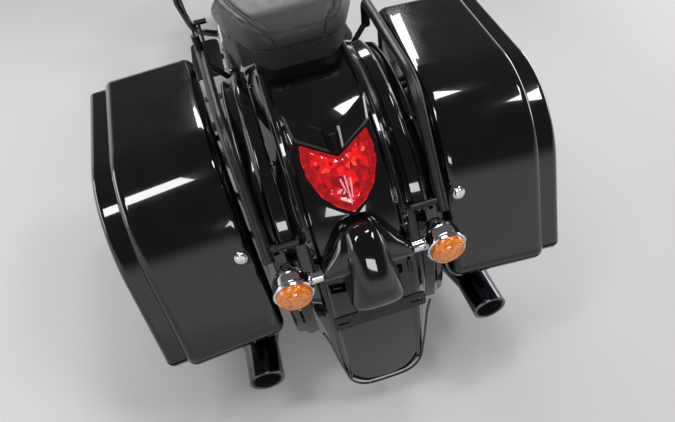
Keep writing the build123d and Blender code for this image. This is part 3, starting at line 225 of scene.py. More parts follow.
def seatHide(name):
    # Seat leather: soft black hide with 1.6 mm pebble grain, drawn at 2.2 mm so that it shows
    mat, tree, shader, spot = newMaterial(name, "#16171a", 0.42, IOR=1.5, Sheen_Weight=0.15,
                                          Sheen_Roughness=0.5)
    colourPatches(tree, shader, spot, sizeMm=55, first="#131417", second="#1c1e22")
    roughPatches(tree, shader, spot, sizeMm=18, low=0.36, high=0.5)
    cells = addNode(tree, "ShaderNodeTexVoronoi", {"Vector": spot, "Scale": perMetre(2.2), "Randomness": 1.0},
                    feature="DISTANCE_TO_EDGE")
    edge = addNode(tree, "ShaderNodeMapRange", {"Value": cells.outputs["Distance"], "From Min": 0.0,
                                                "From Max": 0.12})
    grain = raisedBy(tree, shader, edge.outputs["Result"], strength=0.28, depthMm=0.18)
    ripple(tree, shader, spot, sizeMm=14.0, strength=0.18, depthMm=0.8, under=grain)
    return mat


def lensPlastic(name, colour, deep, facetMm, through):
    # Moulded lens: clear tinted acrylic over pressed optics, so it breaks light into small facets
    mat, tree, shader, spot = newMaterial(name, colour, 0.06, IOR=1.49, Transmission_Weight=through,
                                          Coat_Weight=1.0, Coat_Roughness=0.02)
    cells = addNode(tree, "ShaderNodeTexVoronoi", {"Vector": spot, "Scale": perMetre(facetMm)}, feature="F1")
    ramp = addNode(tree, "ShaderNodeValToRGB", {"Fac": cells.outputs["Distance"]})
    setStops(ramp, (0.1, colour), (0.75, deep))
    tree.links.new(ramp.outputs["Color"], shader.inputs["Base Color"])
    raisedBy(tree, shader, cells.outputs["Distance"], strength=0.5, depthMm=0.6)
    return mat


def clearSheet(name, colour, through, alpha=1.0):
    # Glass or cast acrylic: smooth, clear, faintly uneven
    mat, tree, shader, spot = newMaterial(name, colour, 0.03, IOR=1.49, Transmission_Weight=through,
                                          Alpha=alpha)
    roughPatches(tree, shader, spot, sizeMm=80, low=0.02, high=0.06)
    ripple(tree, shader, spot, sizeMm=60.0, strength=0.02, depthMm=0.2)
    return mat


finishes = {
    "gloss_black": glossPaint("blackEnamel", "#050506", "#09090b"),
    "frame_black": powderCoat("blackPowderCoat", "#0d0d0e", "#141415", rough=0.34),
    "engine_black": powderCoat("crackleBlack", "#121213", "#1c1c1d", rough=0.5),
    "engine_silver": turnedSteel("machinedAlloy", "#a6a7a9", "#b8b9bb"),
    "chrome": plating("chromePlate", "#d9dade", "#cfd2d8", low=0.03, high=0.09),
    "dark_chrome": plating("blackChrome", "#66686e", "#54565b", low=0.06, high=0.15),
    "steel": turnedSteel("groundSteel", "#8f9194", "#a5a7aa"),
    "rubber": mouldedRubber("mouldedRubber", "#121213", "#1b1b1c", grainMm=1.6, rough=0.7),
    "tyre": mouldedRubber("tyreRubber", "#141415", "#202021", grainMm=2.2, rough=0.8),
    "seat_cover": seatHide("seatLeather"),
    "matt_plastic": mouldedRubber("texturedPlastic", "#0f0f10", "#161617", grainMm=0.9, rough=0.55),
    "black_plastic": glossPaint("glossPlastic", "#08080a", "#0d0d10"),
    "red_lens": lensPlastic("redLens", "#e00a18", "#9c0610", facetMm=7.0, through=0.25),
    "amber_lens": lensPlastic("amberLens", "#ff8a08", "#d86400", facetMm=5.0, through=0.3),
    "clear_glass": clearSheet("headlampGlass", "#eef3f5", through=0.9),
    "smoked_screen": clearSheet("smokedAcrylic", "#8d9296", through=0.95),
    "mirror_black": glossPaint("mirrorShell", "#0a0a0b", "#101012"),
}
slotOf = {part["node"]: part["material_slot"] for part in frame["record"]["subparts"]}
for name, node in nodes.items():
    for holder in node.material_slots:
        holder.material = finishes[slotOf[name]]
print("stage: materials on", len(nodes), "nodes")


# Builders: every mesh is made in upright millimetres and then put in its place
def addPiece(name, bm, place, slotName, body, finish=None, sharp=35.0, outward=True):
    # Outward is off for strips and tubes that are already wound outwards
    if outward:
        bmesh.ops.recalc_face_normals(bm, faces=bm.faces)
    bm.normal_update()
    mesh = bpy.data.meshes.new(name)
    bm.to_mesh(mesh)
    bm.free()
    return addMesh(name, mesh, place, slotName, body, finish, sharp)


def addMesh(name, mesh, place, slotName, body, finish=None, sharp=35.0):
    mesh.transform(place)
    mesh.materials.clear()
    mesh.materials.append(finish or finishes[slotName])
    mesh.shade_smooth()
    mesh.set_sharp_from_angle(angle=math.radians(sharp))
    piece = bpy.data.objects.new(name, mesh)
    scene.collection.objects.link(piece)
    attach(piece, body)
    return piece


def along(point, way):
    # Place whose Z axis points along a way
    return Matrix.Translation(point) @ Vector(way).normalized().to_track_quat("Z", "Y").to_matrix().to_4x4()


def frameAt(origin, xAxis, zAxis):
    z = Vector(zAxis).normalized()
    x = (Vector(xAxis) - z * Vector(xAxis).dot(z)).normalized()
    y = z.cross(x)
    return Matrix.Translation(origin) @ Matrix((x, y, z)).transposed().to_4x4()


def bridge(bm, loops, closed=False):
    # Faces between rings of vertices, each ring as long as the next
    pairs = list(zip(loops, loops[1:])) + ([(loops[-1], loops[0])] if closed else [])
    for low, high in pairs:
        for i in range(len(low)):
            j = (i + 1) % len(low)
            bm.faces.new((low[i], low[j], high[j], high[i]))


def lathe(bm, profile, where, sides=48):
    # Turns (radius, height) rows about the Z axis of a place; a zero radius closes the end
    angles = [i * math.tau / sides for i in range(sides)]
    rings = []
    for radius, height in profile:
        if radius < 1e-6:
            rings.append([bm.verts.new(where @ Vector((0, 0, height)))])
        else:
            rings.append([bm.verts.new(where @ Vector((radius * math.cos(a), radius * math.sin(a), height)))
                          for a in angles])
    for low, high in zip(rings, rings[1:]):
        if len(low) == len(high):
            bridge(bm, (low, high))
            continue
        for i in range(sides):
            j = (i + 1) % sides
            bm.faces.new((low[0], high[j], high[i]) if len(low) == 1 else (low[i], low[j], high[0]))


def insetOutline(outline, amount):
    # Moves each corner inwards; very sharp corners are held back
    points = [Vector(p) for p in outline]
    result = []
    for i, point in enumerate(points):
        before = (point - points[i - 1]).normalized()
        after = (points[(i + 1) % len(points)] - point).normalized()
        normal = (Vector((-before.y, before.x)) + Vector((-after.y, after.x)))
        size = max(normal.length_squared / 2, 0.35)
        result.append(point + normal * amount / size)
    return result


def slab(bm, outline, height, bevel, where):
    # Prism on an outline with a bevelled top edge
    inner = insetOutline(outline, bevel)
    layers = [(outline, 0.0), (outline, height - bevel), (inner, height)]
    loops = [[bm.verts.new(where @ Vector((x, y, z))) for x, y in points] for points, z in layers]
    bridge(bm, loops)
    bm.faces.new(loops[-1])
    bm.faces.new(loops[0][::-1])


def tube(bm, points, radius, sides=10, closed=False):
    points = [Vector(p) for p in points]
    count = len(points)
    rings = []
    normal = None
    for i, point in enumerate(points):
        if closed:
            way = (points[(i + 1) % count] - points[i - 1]).normalized()
        else:
            way = (points[min(i + 1, count - 1)] - points[max(i - 1, 0)]).normalized()
        if normal is None:
            normal = way.orthogonal().normalized()
        normal = (normal - way * normal.dot(way)).normalized()
        side = way.cross(normal)
        rings.append([bm.verts.new(point + radius * (math.cos(a) * normal + math.sin(a) * side))
                      for a in [k * math.tau / sides for k in range(sides)]])
    bridge(bm, rings, closed)
    if not closed:
        bm.faces.new(rings[0][::-1])
        bm.faces.new(rings[-1])


def smoothLine(points, spacing):
    # Catmull-Rom through the points, sampled evenly enough for tubes and stitches
    points = [Vector(p) for p in points]
    ends = [points[0] * 2 - points[1]] + points + [points[-1] * 2 - points[-2]]
    result = []
    for i in range(1, len(ends) - 2):
        a, b, c, d = ends[i - 1 : i + 3]
        steps = max(2, int((c - b).length / spacing))
        for k in range(steps):
            t = k / steps
            result.append(0.5 * (2 * b + (c - a) * t + (2 * a - 5 * b + 4 * c - d) * t * t
                                 + (3 * b - a - 3 * c + d) * t * t * t))
    result.append(points[-1])
    return result


def evaluatedMesh(piece):
    return bpy.data.meshes.new_from_object(piece.evaluated_get(bpy.context.evaluated_depsgraph_get()))


# Node trees for what repeats. Bolt parts are in shares of the head's radius and height, and the
# stitch's half length is a share of its pitch
boltShares = {"sides": 20, "washerRadius": 1.35, "washerDepth": 0.3, "crownTop": 0.6, "crownHeight": 0.25}
stitchShares = {"length": 0.36, "segments": 8, "rings": 5}


def newTree(name, floats=(), ints=()):
    tree = bpy.data.node_groups.new(name, "GeometryNodeTree")
    tree.interface.new_socket("Geometry", in_out="INPUT", socket_type="NodeSocketGeometry")
    for label in floats:
        tree.interface.new_socket(label, in_out="INPUT", socket_type="NodeSocketFloat")
    for label in ints:
        tree.interface.new_socket(label, in_out="INPUT", socket_type="NodeSocketInt")
    tree.interface.new_socket("Finish", in_out="INPUT", socket_type="NodeSocketMaterial")
    tree.interface.new_socket("Geometry", in_out="OUTPUT", socket_type="NodeSocketGeometry")
    return tree, addNode(tree, "NodeGroupInput").outputs, addNode(tree, "NodeGroupOutput")


def closeTree(tree, given, result, instances):
    real = addNode(tree, "GeometryNodeRealizeInstances", {"Geometry": instances})
    painted = addNode(tree, "GeometryNodeSetMaterial", {"Geometry": real.outputs[0],
                                                        "Material": given["Finish"]})
    tree.links.new(painted.outputs[0], result.inputs[0])


def boltTree(shares):
    # Bolt heads on points: a washer, a round head and a tapered crown
    tree, given, result = newTree("boltHeads", ("Head radius", "Head height"))
    radius, height, sides = given["Head radius"], given["Head height"], shares["sides"]
    factors = {"wide": (radius, shares["washerRadius"]), "thin": (height, shares["washerDepth"]),
               "half": (height, 0.5), "low": (height, shares["crownHeight"])}
    scaled = {}
    for label, (socket, share) in factors.items():
        product = addNode(tree, "ShaderNodeMath", {0: socket, 1: share}, operation="MULTIPLY")
        scaled[label] = product.outputs[0]
    washer = addNode(tree, "GeometryNodeMeshCylinder", {"Vertices": sides, "Radius": scaled["wide"],
                                                        "Depth": scaled["thin"]})
    head = addNode(tree, "GeometryNodeMeshCylinder", {"Vertices": sides, "Radius": radius, "Depth": height})
    lift = addNode(tree, "ShaderNodeCombineXYZ", {"Z": scaled["half"]})
    raised = addNode(tree, "GeometryNodeTransform", {"Geometry": head.outputs["Mesh"],
                                                     "Translation": lift.outputs[0]})
    cone = addNode(tree, "GeometryNodeMeshCone", {"Vertices": sides, "Radius Top": shares["crownTop"],
                                                  "Radius Bottom": 1.0, "Depth": 1.0})
    size = addNode(tree, "ShaderNodeCombineXYZ", {"X": radius, "Y": radius, "Z": scaled["low"]})
    top = addNode(tree, "ShaderNodeCombineXYZ", {"Z": height})
    crown = addNode(tree, "GeometryNodeTransform", {"Geometry": cone.outputs["Mesh"],
                                                    "Translation": top.outputs[0], "Scale": size.outputs[0]})
    joined = addNode(tree, "GeometryNodeJoinGeometry")
    for part in (washer.outputs["Mesh"], raised.outputs[0], crown.outputs[0]):
        tree.links.new(part, joined.inputs[0])
    facing = addNode(tree, "GeometryNodeInputNamedAttribute", {"Name": "facing"}, data_type="FLOAT_VECTOR")
    turn = addNode(tree, "FunctionNodeAlignRotationToVector", {"Vector": facing.outputs["Attribute"]},
                   axis="Z")
    points = addNode(tree, "GeometryNodeMeshToPoints", {"Mesh": given["Geometry"]})
    placed = addNode(tree, "GeometryNodeInstanceOnPoints", {"Points": points.outputs[0],
                                                            "Instance": joined.outputs[0],
                                                            "Rotation": turn.outputs[0]})
    closeTree(tree, given, result, placed.outputs[0])
    return tree


def aroundTree():
    # Copies of the given mesh turned about the X axis, in equal steps
    tree, given, result = newTree("turnedCopies", (), ("Count",))
    line = addNode(tree, "GeometryNodeMeshLine", {"Count": given["Count"], "Offset": (0, 0, 0)})
    index = addNode(tree, "GeometryNodeInputIndex")
    share = addNode(tree, "ShaderNodeMath", {0: index.outputs[0], 1: given["Count"]}, operation="DIVIDE")
    angle = addNode(tree, "ShaderNodeMath", {0: share.outputs[0], 1: math.tau}, operation="MULTIPLY")
    turn = addNode(tree, "ShaderNodeCombineXYZ", {"X": angle.outputs[0]})
    placed = addNode(tree, "GeometryNodeInstanceOnPoints", {"Points": line.outputs[0],
                                                            "Instance": given["Geometry"],
                                                            "Rotation": turn.outputs[0]})
    closeTree(tree, given, result, placed.outputs[0])
    return tree


def stitchTree(shares):
    # Short thread stitches laid along a polyline at an even pitch
    tree, given, result = newTree("stitches", ("Pitch", "Thread radius"))
    curve = addNode(tree, "GeometryNodeMeshToCurve", {"Mesh": given["Geometry"]})
    even = addNode(tree, "GeometryNodeResampleCurve", {"Curve": curve.outputs[0], "Length": given["Pitch"]},
                   mode="LENGTH")
    thread = addNode(tree, "GeometryNodeMeshUVSphere", {"Segments": shares["segments"],
                                                        "Rings": shares["rings"], "Radius": 1.0})
    longer = addNode(tree, "ShaderNodeMath", {0: given["Pitch"], 1: shares["length"]}, operation="MULTIPLY")
    size = addNode(tree, "ShaderNodeCombineXYZ", {"X": given["Thread radius"], "Y": given["Thread radius"],
                                                  "Z": longer.outputs[0]})
    tangent = addNode(tree, "GeometryNodeInputTangent")
    turn = addNode(tree, "FunctionNodeAlignRotationToVector", {"Vector": tangent.outputs[0]}, axis="Z")
    placed = addNode(tree, "GeometryNodeInstanceOnPoints", {"Points": even.outputs[0],
                                                            "Instance": thread.outputs[0],
                                                            "Rotation": turn.outputs[0],
                                                            "Scale": size.outputs[0]})
    closeTree(tree, given, result, placed.outputs[0])
    return tree


trees = {"bolts": boltTree(boltShares), "around": aroundTree(), "stitches": stitchTree(stitchShares)}


def grow(mesh, treeName, values):
    # Runs a tree on a mesh and returns the plain result
    holder = bpy.data.objects.new("holder", mesh)
    scene.collection.objects.link(holder)
    modifier = holder.modifiers.new("nodes", "NODES")
    modifier.node_group = trees[treeName]
    for item in trees[treeName].interface.items_tree:
        if item.in_out == "INPUT" and item.name in values:
            modifier[item.identifier] = values[item.name]
    result = evaluatedMesh(holder)
    holder.modifiers.remove(modifier)
    bpy.data.objects.remove(holder)
    return result


def addBolts(name, spots, radius, height, place, body, slotName="chrome"):
    # Spots are (point, way out) pairs
    mesh = bpy.data.meshes.new(name)
    mesh.from_pydata([point for point, way in spots], [], [])
    facing = mesh.attributes.new("facing", "FLOAT_VECTOR", "POINT")
    for i, (point, way) in enumerate(spots):
        facing.data[i].vector = Vector(way).normalized()
    result = grow(mesh, "bolts", {"Head radius": radius, "Head height": height, "Finish": finishes[slotName]})
    return addMesh(name, result, place, slotName, body, sharp=30.0)


# Places on the machine's own surfaces
def surfaceOf(names, place):
    back = place.inverted()
    verts, faces = [], []
    for name in names:
        node = nodes[name]
        start = len(verts)
        verts += [back @ (node.matrix_world @ v.co) for v in node.data.vertices]
        faces += [[start + i for i in p.vertices] for p in node.data.polygons]
    return BVHTree.FromPolygons(verts, faces)


def onSurface(tree, start, way):
    # First point that a ray meets, with the way out there; both are None where it misses
    return tree.ray_cast(Vector(start), Vector(way).normalized())[:2]


def boltsOn(tree, rows):
    # Bolt places from ray starts and ways, each seated on the surface that it meets
    spots = []
    for start, way in rows:
        point, normal = onSurface(tree, start, way)
        if point is not None:
            spots.append((tuple(point), tuple(normal)))
    return spots


def fenderSpot(angle, radius):
    # Local frame on the rear fender: X right, Y up the fender, Z straight out of it
    a = math.radians(angle)
    y0, z0 = bikeSizes["fenderCentre"]
    out = Vector((0, -math.sin(a), math.cos(a)))
    up = Vector((0, math.cos(a), math.sin(a)))
    origin = Vector((0, y0, z0)) + out * radius
    return Matrix.Translation(origin) @ Matrix((Vector((1, 0, 0)), up, out)).transposed().to_4x4()


def sided(point, side):
    # A point on the right, or its mirror image on the left for side -1
    return (point[0] * side, *point[1:])


# Seat: foam under stretched hide, swollen by cloth simulation, then sewn along its seams
seatSetup = {
    "mergeDistance": 0.01,
    "voxel": 6.0,
    "evenSteps": 4,
    "undersideNormal": -0.7,
    "shrink": 4.0,
    "pressure": 4.0,
    "quality": 6,
    "frames": 20,
    "moveCap": 9.0,
    "stretchStiffness": 60.0,
    "bendStiffness": 40.0,
    "tautSteps": 14,
    "seamSpacing": 3.0,
    "seamDepth": 3.2,
    "seamWidth": 4.5,
    "weltRadius": 1.7,
    "weltSunk": 2.0,
    "stitchPitch": 6.0,
    "stitchOffset": 5.0,
    "threadRadius": 0.45,
    "threadSunk": 0.9,
}
seatSeams = {
    "sideSeam": [(52, -74, 778), (56, -70, 800), (68, -52, 826), (86, -18, 840), (104, 30, 845),
                 (118, 90, 848), (124, 150, 848), (122, 200, 846)],
    "riderSeam": [(122, 214, 838), (132, 270, 832), (140, 340, 826), (134, 410, 822), (104, 470, 822),
                  (70, 520, 822)],
    "crossSeam": [(-150, 207, 800), (-132, 207, 832), (-80, 207, 846), (0, 207, 848), (80, 207, 846),
                  (132, 207, 832), (150, 207, 800)],
    "wallSeam": [(140, 62, 770), (142, 66, 800), (136, 72, 828), (118, 84, 846)],
}


def makeReal(piece):
    # Takes a piece's modifiers into its mesh
    mesh = evaluatedMesh(piece)
    piece.modifiers.clear()
    piece.data = mesh
    return mesh


def seatStart(setup):
    # Even skin a little inside the seat's shape, with its underside held
    mesh = nodes["seat"].data.copy()
    mesh.transform(bodyPlace.inverted() @ nodes["seat"].matrix_world)
    bm = bmesh.new()
    bm.from_mesh(mesh)
    bmesh.ops.remove_doubles(bm, verts=bm.verts, dist=setup["mergeDistance"])
    bm.to_mesh(mesh)
    bm.free()
    mesh.transform(Matrix.Scale(0.001, 4))
    piece = bpy.data.objects.new("seatPad", mesh)
    scene.collection.objects.link(piece)
    remesh = piece.modifiers.new("remesh", "REMESH")
    remesh.mode = "VOXEL"
    remesh.voxel_size = setup["voxel"] / 1000
    smooth = piece.modifiers.new("smooth", "SMOOTH")
    smooth.iterations = setup["evenSteps"]
    result = makeReal(piece)
    limit = setup["undersideNormal"]
    low = [v.index for v in result.vertices if v.normal.z < limit]
    for vertex in result.vertices:
        if vertex.normal.z > limit:
            vertex.co -= vertex.normal * setup["shrink"] / 1000
    hold = piece.vertex_groups.new(name="hold")
    hold.add(low, 1.0, "REPLACE")
    return piece


def swell(piece, setup):
    before = [v.co.copy() for v in piece.data.vertices]
    cloth = piece.modifiers.new("cloth", "CLOTH")
    cloth.settings.use_pressure = True
    cloth.settings.uniform_pressure_force = setup["pressure"]
    cloth.settings.effector_weights.gravity = 0
    cloth.settings.vertex_group_mass = "hold"
    cloth.settings.quality = setup["quality"]
    cloth.settings.tension_stiffness = setup["stretchStiffness"]
    cloth.settings.compression_stiffness = setup["stretchStiffness"]
    cloth.settings.shear_stiffness = setup["stretchStiffness"]
    cloth.settings.bending_stiffness = setup["bendStiffness"]
    for step in range(1, setup["frames"] + 1):
        scene.frame_set(step)
    result = evaluatedMesh(piece)
    piece.modifiers.clear()
    scene.frame_set(1)
    cap = setup["moveCap"] / 1000
    for vertex, start in zip(result.vertices, before):
        move = vertex.co - start
        if move.length > cap:
            vertex.co = start + move * cap / move.length
    piece.data = result
    taut = piece.modifiers.new("taut", "SMOOTH")
    taut.iterations = setup["tautSteps"]
    makeReal(piece)


def seamLines(tree, seams, spacing):
    # Seams as rows of (point, normal) on the skin; all but the cross seam run on both sides
    lines = []
    for name, rough in seams.items():
        for side in ((1, -1) if name != "crossSeam" else (1,)):
            line = smoothLine([sided(p, side) for p in rough], spacing)
            lines.append([tree.find_nearest(p)[:2] for p in line])
    return lines


def pressSeams(mesh, lines, depth, width):
    # Draws the skin in along the seams, most on the line itself
    spots = np.array([tuple(p) for line in lines for p, normal in line])
    points = np.empty(len(mesh.vertices) * 3)
    normals = np.empty(len(mesh.vertices) * 3)
    mesh.vertices.foreach_get("co", points)
    mesh.vertices.foreach_get("normal", normals)
    points, normals = points.reshape(-1, 3), normals.reshape(-1, 3)
    near = np.full(len(points), np.inf)
    for spot in spots:
        near = np.minimum(near, np.linalg.norm(points - spot, axis=1))
    press = depth * np.exp(-((near / width) ** 2))
    mesh.vertices.foreach_set("co", (points - normals * press[:, None]).reshape(-1))
    mesh.update()


def sewSeat(tree, lines, setup):
    # A welt in each seam and a row of stitches on either side of it
    welts = bmesh.new()
    verts, edges = [], []
    for line in lines:
        tube(welts, [p - n * setup["weltSunk"] for p, n in line], setup["weltRadius"], sides=8)
        for side in (-1, 1):
            first = len(verts)
            for i, (p, n) in enumerate(line):
                way = (line[min(i + 1, len(line) - 1)][0] - line[max(i - 1, 0)][0]).normalized()
                hit, normal = tree.find_nearest(p + way.cross(n) * side * setup["stitchOffset"])[:2]
                verts.append(tuple(hit - normal * setup["threadSunk"]))
            edges += [(i, i + 1) for i in range(first, len(verts) - 1)]
    addPiece("seatWelts", welts, bodyPlace, "seat_cover", "chassis", sharp=180.0, outward=False)
    mesh = bpy.data.meshes.new("seatStitches")
    mesh.from_pydata(verts, edges, [])
    result = grow(mesh, "stitches", {"Pitch": setup["stitchPitch"], "Thread radius": setup["threadRadius"],
                                     "Finish": finishes["seat_cover"]})
    addMesh("seatStitches", result, bodyPlace, "seat_cover", "chassis", sharp=180.0)


def makeSeat(setup, seams):
    piece = seatStart(setup)
    swell(piece, setup)
    split = piece.modifiers.new("split", "SUBSURF")
    split.levels = split.render_levels = 1
    mesh = evaluatedMesh(piece)
    bpy.data.objects.remove(piece)
    mesh.transform(Matrix.Scale(1000, 4))
    tree = BVHTree.FromPolygons([v.co for v in mesh.vertices], [list(p.vertices) for p in mesh.polygons])
    lines = seamLines(tree, seams, setup["seamSpacing"])
    pressSeams(mesh, lines, setup["seamDepth"], setup["seamWidth"])
    pad = addMesh("seatPad", mesh, bodyPlace, "seat_cover", "chassis", sharp=180.0)
    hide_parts("seat")
    sewSeat(tree, lines, setup)


makeSeat(seatSetup, seatSeams)
print("stage: seat")

# Tail lamp: bevelled black ears over a chevron lens with pressed optics
# Rings of the lens, from its edge in: share of the outline, and drop below the crown's curve
lampSetup = {
    "angle": 42.0,
    "radius": 386.0,
    "lens": [(0, 26), (62, 64), (66, 30), (60, -4), (48, -34), (26, -58), (0, -74)],
    "cornerCut": 3.0,
    "centre": (0, -6),
    "rings": [(1.0, 4.0), (0.985, 0.0), (0.95, 0.0), (0.92, 1.2), (0.8, 1.2), (0.65, 1.2), (0.5, 1.2),
              (0.35, 1.2), (0.2, 1.2)],
    "rimRings": 3,
    "topDrop": 1.2,
    "lensBase": 30.0,
    "lensCrown": 7.0,
    "crownPower": 2.2,
    "ear": [(12.5, 79), (9, 36), (18, 40), (63, 69), (69.5, 76), (75.5, 123)],
    "earBase": 24.0,
    "earHeight": 11.0,
    "earBevel": 4.5,
    "middle": [(-8, 68), (-5, 33), (5, 33), (8, 68)],
    "middleHeight": 7.0,
    "middleBevel": 1.5,
    "surroundRadius": 2.6,
    "surroundOut": 2.34,
    "surroundDrop": 2.0,
}
# Ribs over the lens, pale pink as painted highlight streaks: x, upper y, lower y; each narrows to the foot and
# falls away with y squared
ribSetup = {
    "ribs": [(-9, -12, -34), (0, -8, -60), (9, -14, -44)],
    "steps": 8,
    "drop": 1.6,
    "narrowing": 0.5,
    "fall": 0.0014,
    "radius": 1.7,
}


def softCorners(outline, amount, steps=3):
    # Rounds an outline's corners by quadratic curves, each taking less than half of a side
    points = [Vector(p) for p in outline]
    result = []
    for i, point in enumerate(points):
        before, after = points[i - 1], points[(i + 1) % len(points)]
        cut = min(amount, (before - point).length * 0.45, (after - point).length * 0.45)
        start = point + (before - point).normalized() * cut
        end = point + (after - point).normalized() * cut
        for k in range(steps + 1):
            t = k / steps
            result.append(start * (1 - t) ** 2 + point * 2 * t * (1 - t) + end * t**2)
    return result


def lensMaterial(name, bright, deep):
    # Chevron lens: a bright moulded rim, and inside it cut facets over a reflector; the palest facets are painted
    # highlights
    mat, tree, shader, spot = newMaterial(name, bright, 0.05, IOR=1.49, Coat_Weight=1.0, Coat_Roughness=0.02,
                                          Emission_Strength=0.25)
    rim = addNode(tree, "ShaderNodeAttribute", attribute_name="rim")
    cells = addNode(tree, "ShaderNodeTexVoronoi", {"Vector": spot, "Scale": perMetre(9.0)}, feature="F1")
    ramp = addNode(tree, "ShaderNodeValToRGB", {"Fac": cells.outputs["Color"]})
    # The last stop paints a few facets pale orange-red as painted highlights
    setStops(ramp, (0.25, deep), (0.8, bright), (0.93, "#ff5a3c"))
    mixed = addNode(tree, "ShaderNodeMix", {"Factor": rim.outputs["Fac"], 6: ramp.outputs["Color"],
                                            7: hexColour("#ff1420")}, data_type="RGBA")
    tree.links.new(mixed.outputs[2], shader.inputs["Base Color"])
    tree.links.new(mixed.outputs[2], shader.inputs["Emission Color"])
    inside = addNode(tree, "ShaderNodeMath", {0: 0.7, 1: rim.outputs["Fac"]}, operation="SUBTRACT")
    raisedBy(tree, shader, cells.outputs["Distance"], strength=inside.outputs[0], depthMm=1.4)
    return mat


def makeTailLens(setup, outline, place):
    bm = bmesh.new()
    centre = Vector(setup["centre"])
    rings = []
    for share, drop in setup["rings"]:
        height = setup["lensBase"] + setup["lensCrown"] * (1 - share ** setup["crownPower"]) - drop
        rings.append([bm.verts.new((*(centre + (p - centre) * share), height)) for p in outline])
    bridge(bm, rings)
    count = len(outline)
    top = bm.verts.new((*centre, setup["lensBase"] + setup["lensCrown"] - setup["topDrop"]))
    for i in range(count):
        bm.faces.new((rings[-1][i], rings[-1][(i + 1) % count], top))
    bm.faces.new(rings[0][::-1])
    finish = lensMaterial("tailLensRed", "#e8101c", "#7c0410")
    lens = addPiece("tailLens", bm, place, "red_lens", "chassis", finish)
    rim = lens.data.attributes.new("rim", "FLOAT", "POINT")
    for i in range(len(lens.data.vertices)):
        rim.data[i].value = 1.0 if i < count * setup["rimRings"] else 0.0


def makeLensRibs(setup, top, place):
    ribs = bmesh.new()
    for x, high, low in setup["ribs"]:
        path = []
        for k in range(setup["steps"] + 1):
            t = k / setup["steps"]
            y = high + (low - high) * t
            path.append((x * (1 - setup["narrowing"] * t), y, top - setup["drop"] - setup["fall"] * y**2))
        tube(ribs, path, setup["radius"], sides=8)
    # The ribs are pale pink: painted highlight streaks over the red lens
    finish = clearSheet("lensRibHighlightPaint", "#ffb4c0", through=0.2)
    addPiece("tailLensHighlightRibs", ribs, place, "red_lens", "chassis", finish, outward=False)


def makeLampEars(setup, outline, place):
    ears = bmesh.new()
    lift = Matrix.Translation((0, 0, setup["earBase"]))
    for side in (1, -1):
        points = [sided(p, side) for p in setup["ear"]]
        slab(ears, points[::side], setup["earHeight"], setup["earBevel"], lift)
    slab(ears, setup["middle"], setup["middleHeight"], setup["middleBevel"], lift)
    outer = insetOutline(outline, -setup["surroundOut"])
    height = setup["lensBase"] - setup["surroundDrop"]
    tube(ears, [(p.x, p.y, height) for p in outer], setup["surroundRadius"], sides=8, closed=True)
    addPiece("tailLampEars", ears, place, "black_plastic", "chassis", sharp=20.0)


lampPlace = bodyPlace @ fenderSpot(lampSetup["angle"], lampSetup["radius"])
lampHalf = lampSetup["lens"]
lampOutline = softCorners(lampHalf + [(-x, y) for x, y in lampHalf[-2:0:-1]], lampSetup["cornerCut"])
makeTailLens(lampSetup, lampOutline, lampPlace)
makeLensRibs(ribSetup, lampSetup["lensBase"] + lampSetup["lensCrown"], lampPlace)
makeLampEars(lampSetup, lampOutline, lampPlace)
print("stage: tail lamp")

# Signals: ring lenses in chrome bezels, polished sleeves on the bar
signalSetup = {
    "centre": (140, -410, 520),
    "lens": [(31, 10), (30, 13), (27.5, 14.2), (25.5, 13.2), (23.5, 15.8), (21, 14.9), (18.5, 17.3),
             (16, 16.4), (13, 18.5), (10.5, 17.8), (7, 19.4), (4.5, 18.9), (2, 20), (0, 20.2)],
    "bezel": [(32, -4), (36.2, -4), (37.2, -1), (36.6, 2.5), (34.4, 4.6), (32.2, 4.2), (32, -4)],
    "sleeve": [(9, -22), (12.6, -21), (13.2, -19), (12.4, -17), (10.8, -15.5), (10.4, 0), (10.8, 15.5),
               (12.6, 17), (13.4, 19), (12.8, 21), (9, 22)],
    "sleeveSpot": (88.0, -390.0, 520.0),
}


def makeSignals(setup):
    lenses, chrome = bmesh.new(), bmesh.new()
    for side in (1, -1):
        where = along(sided(setup["centre"], side), (0, -1, 0))
        lathe(lenses, setup["lens"], where)
        lathe(chrome, setup["bezel"], where)
        lathe(chrome, setup["sleeve"], along(sided(setup["sleeveSpot"], side), (side, 0, 0)))
    finish = lensPlastic("signalAmber", "#ffab1c", "#e86c00", facetMm=6.0, through=0.1)
    addPiece("signalLensRings", lenses, bodyPlace, "amber_lens", "chassis", finish, sharp=50.0)
    addPiece("signalTrim", chrome, bodyPlace, "chrome", "chassis")


makeSignals(signalSetup)

# Rear fender tail: a rolled bead along its free edge, as x and height down the tail's face
tailEdgeSetup = {
    "edge": [(113, 352), (106, 318), (98, 245), (91, 190), (84, 152), (68, 126), (44, 112), (0, 109)],
    "faceAngle": 84.0,
    "spacing": 6.0,
    "bead": 2.6,
}


def makeTailBead(setup):
    lean = 1 / math.tan(math.radians(setup["faceAngle"]))
    face = fenderSpot(setup["faceAngle"], bikeSizes["fenderRadius"]).translation
    path = [(x, face.y + (z - face.z) * lean, z) for x, z in setup["edge"]]
    whole = path + [sided(p, -1) for p in path[-2::-1]]
    bm = bmesh.new()
    tube(bm, smoothLine(whole, setup["spacing"]), setup["bead"])
    addPiece("fenderTailBead", bm, bodyPlace, "gloss_black", "chassis", sharp=60.0)


makeTailBead(tailEdgeSetup)

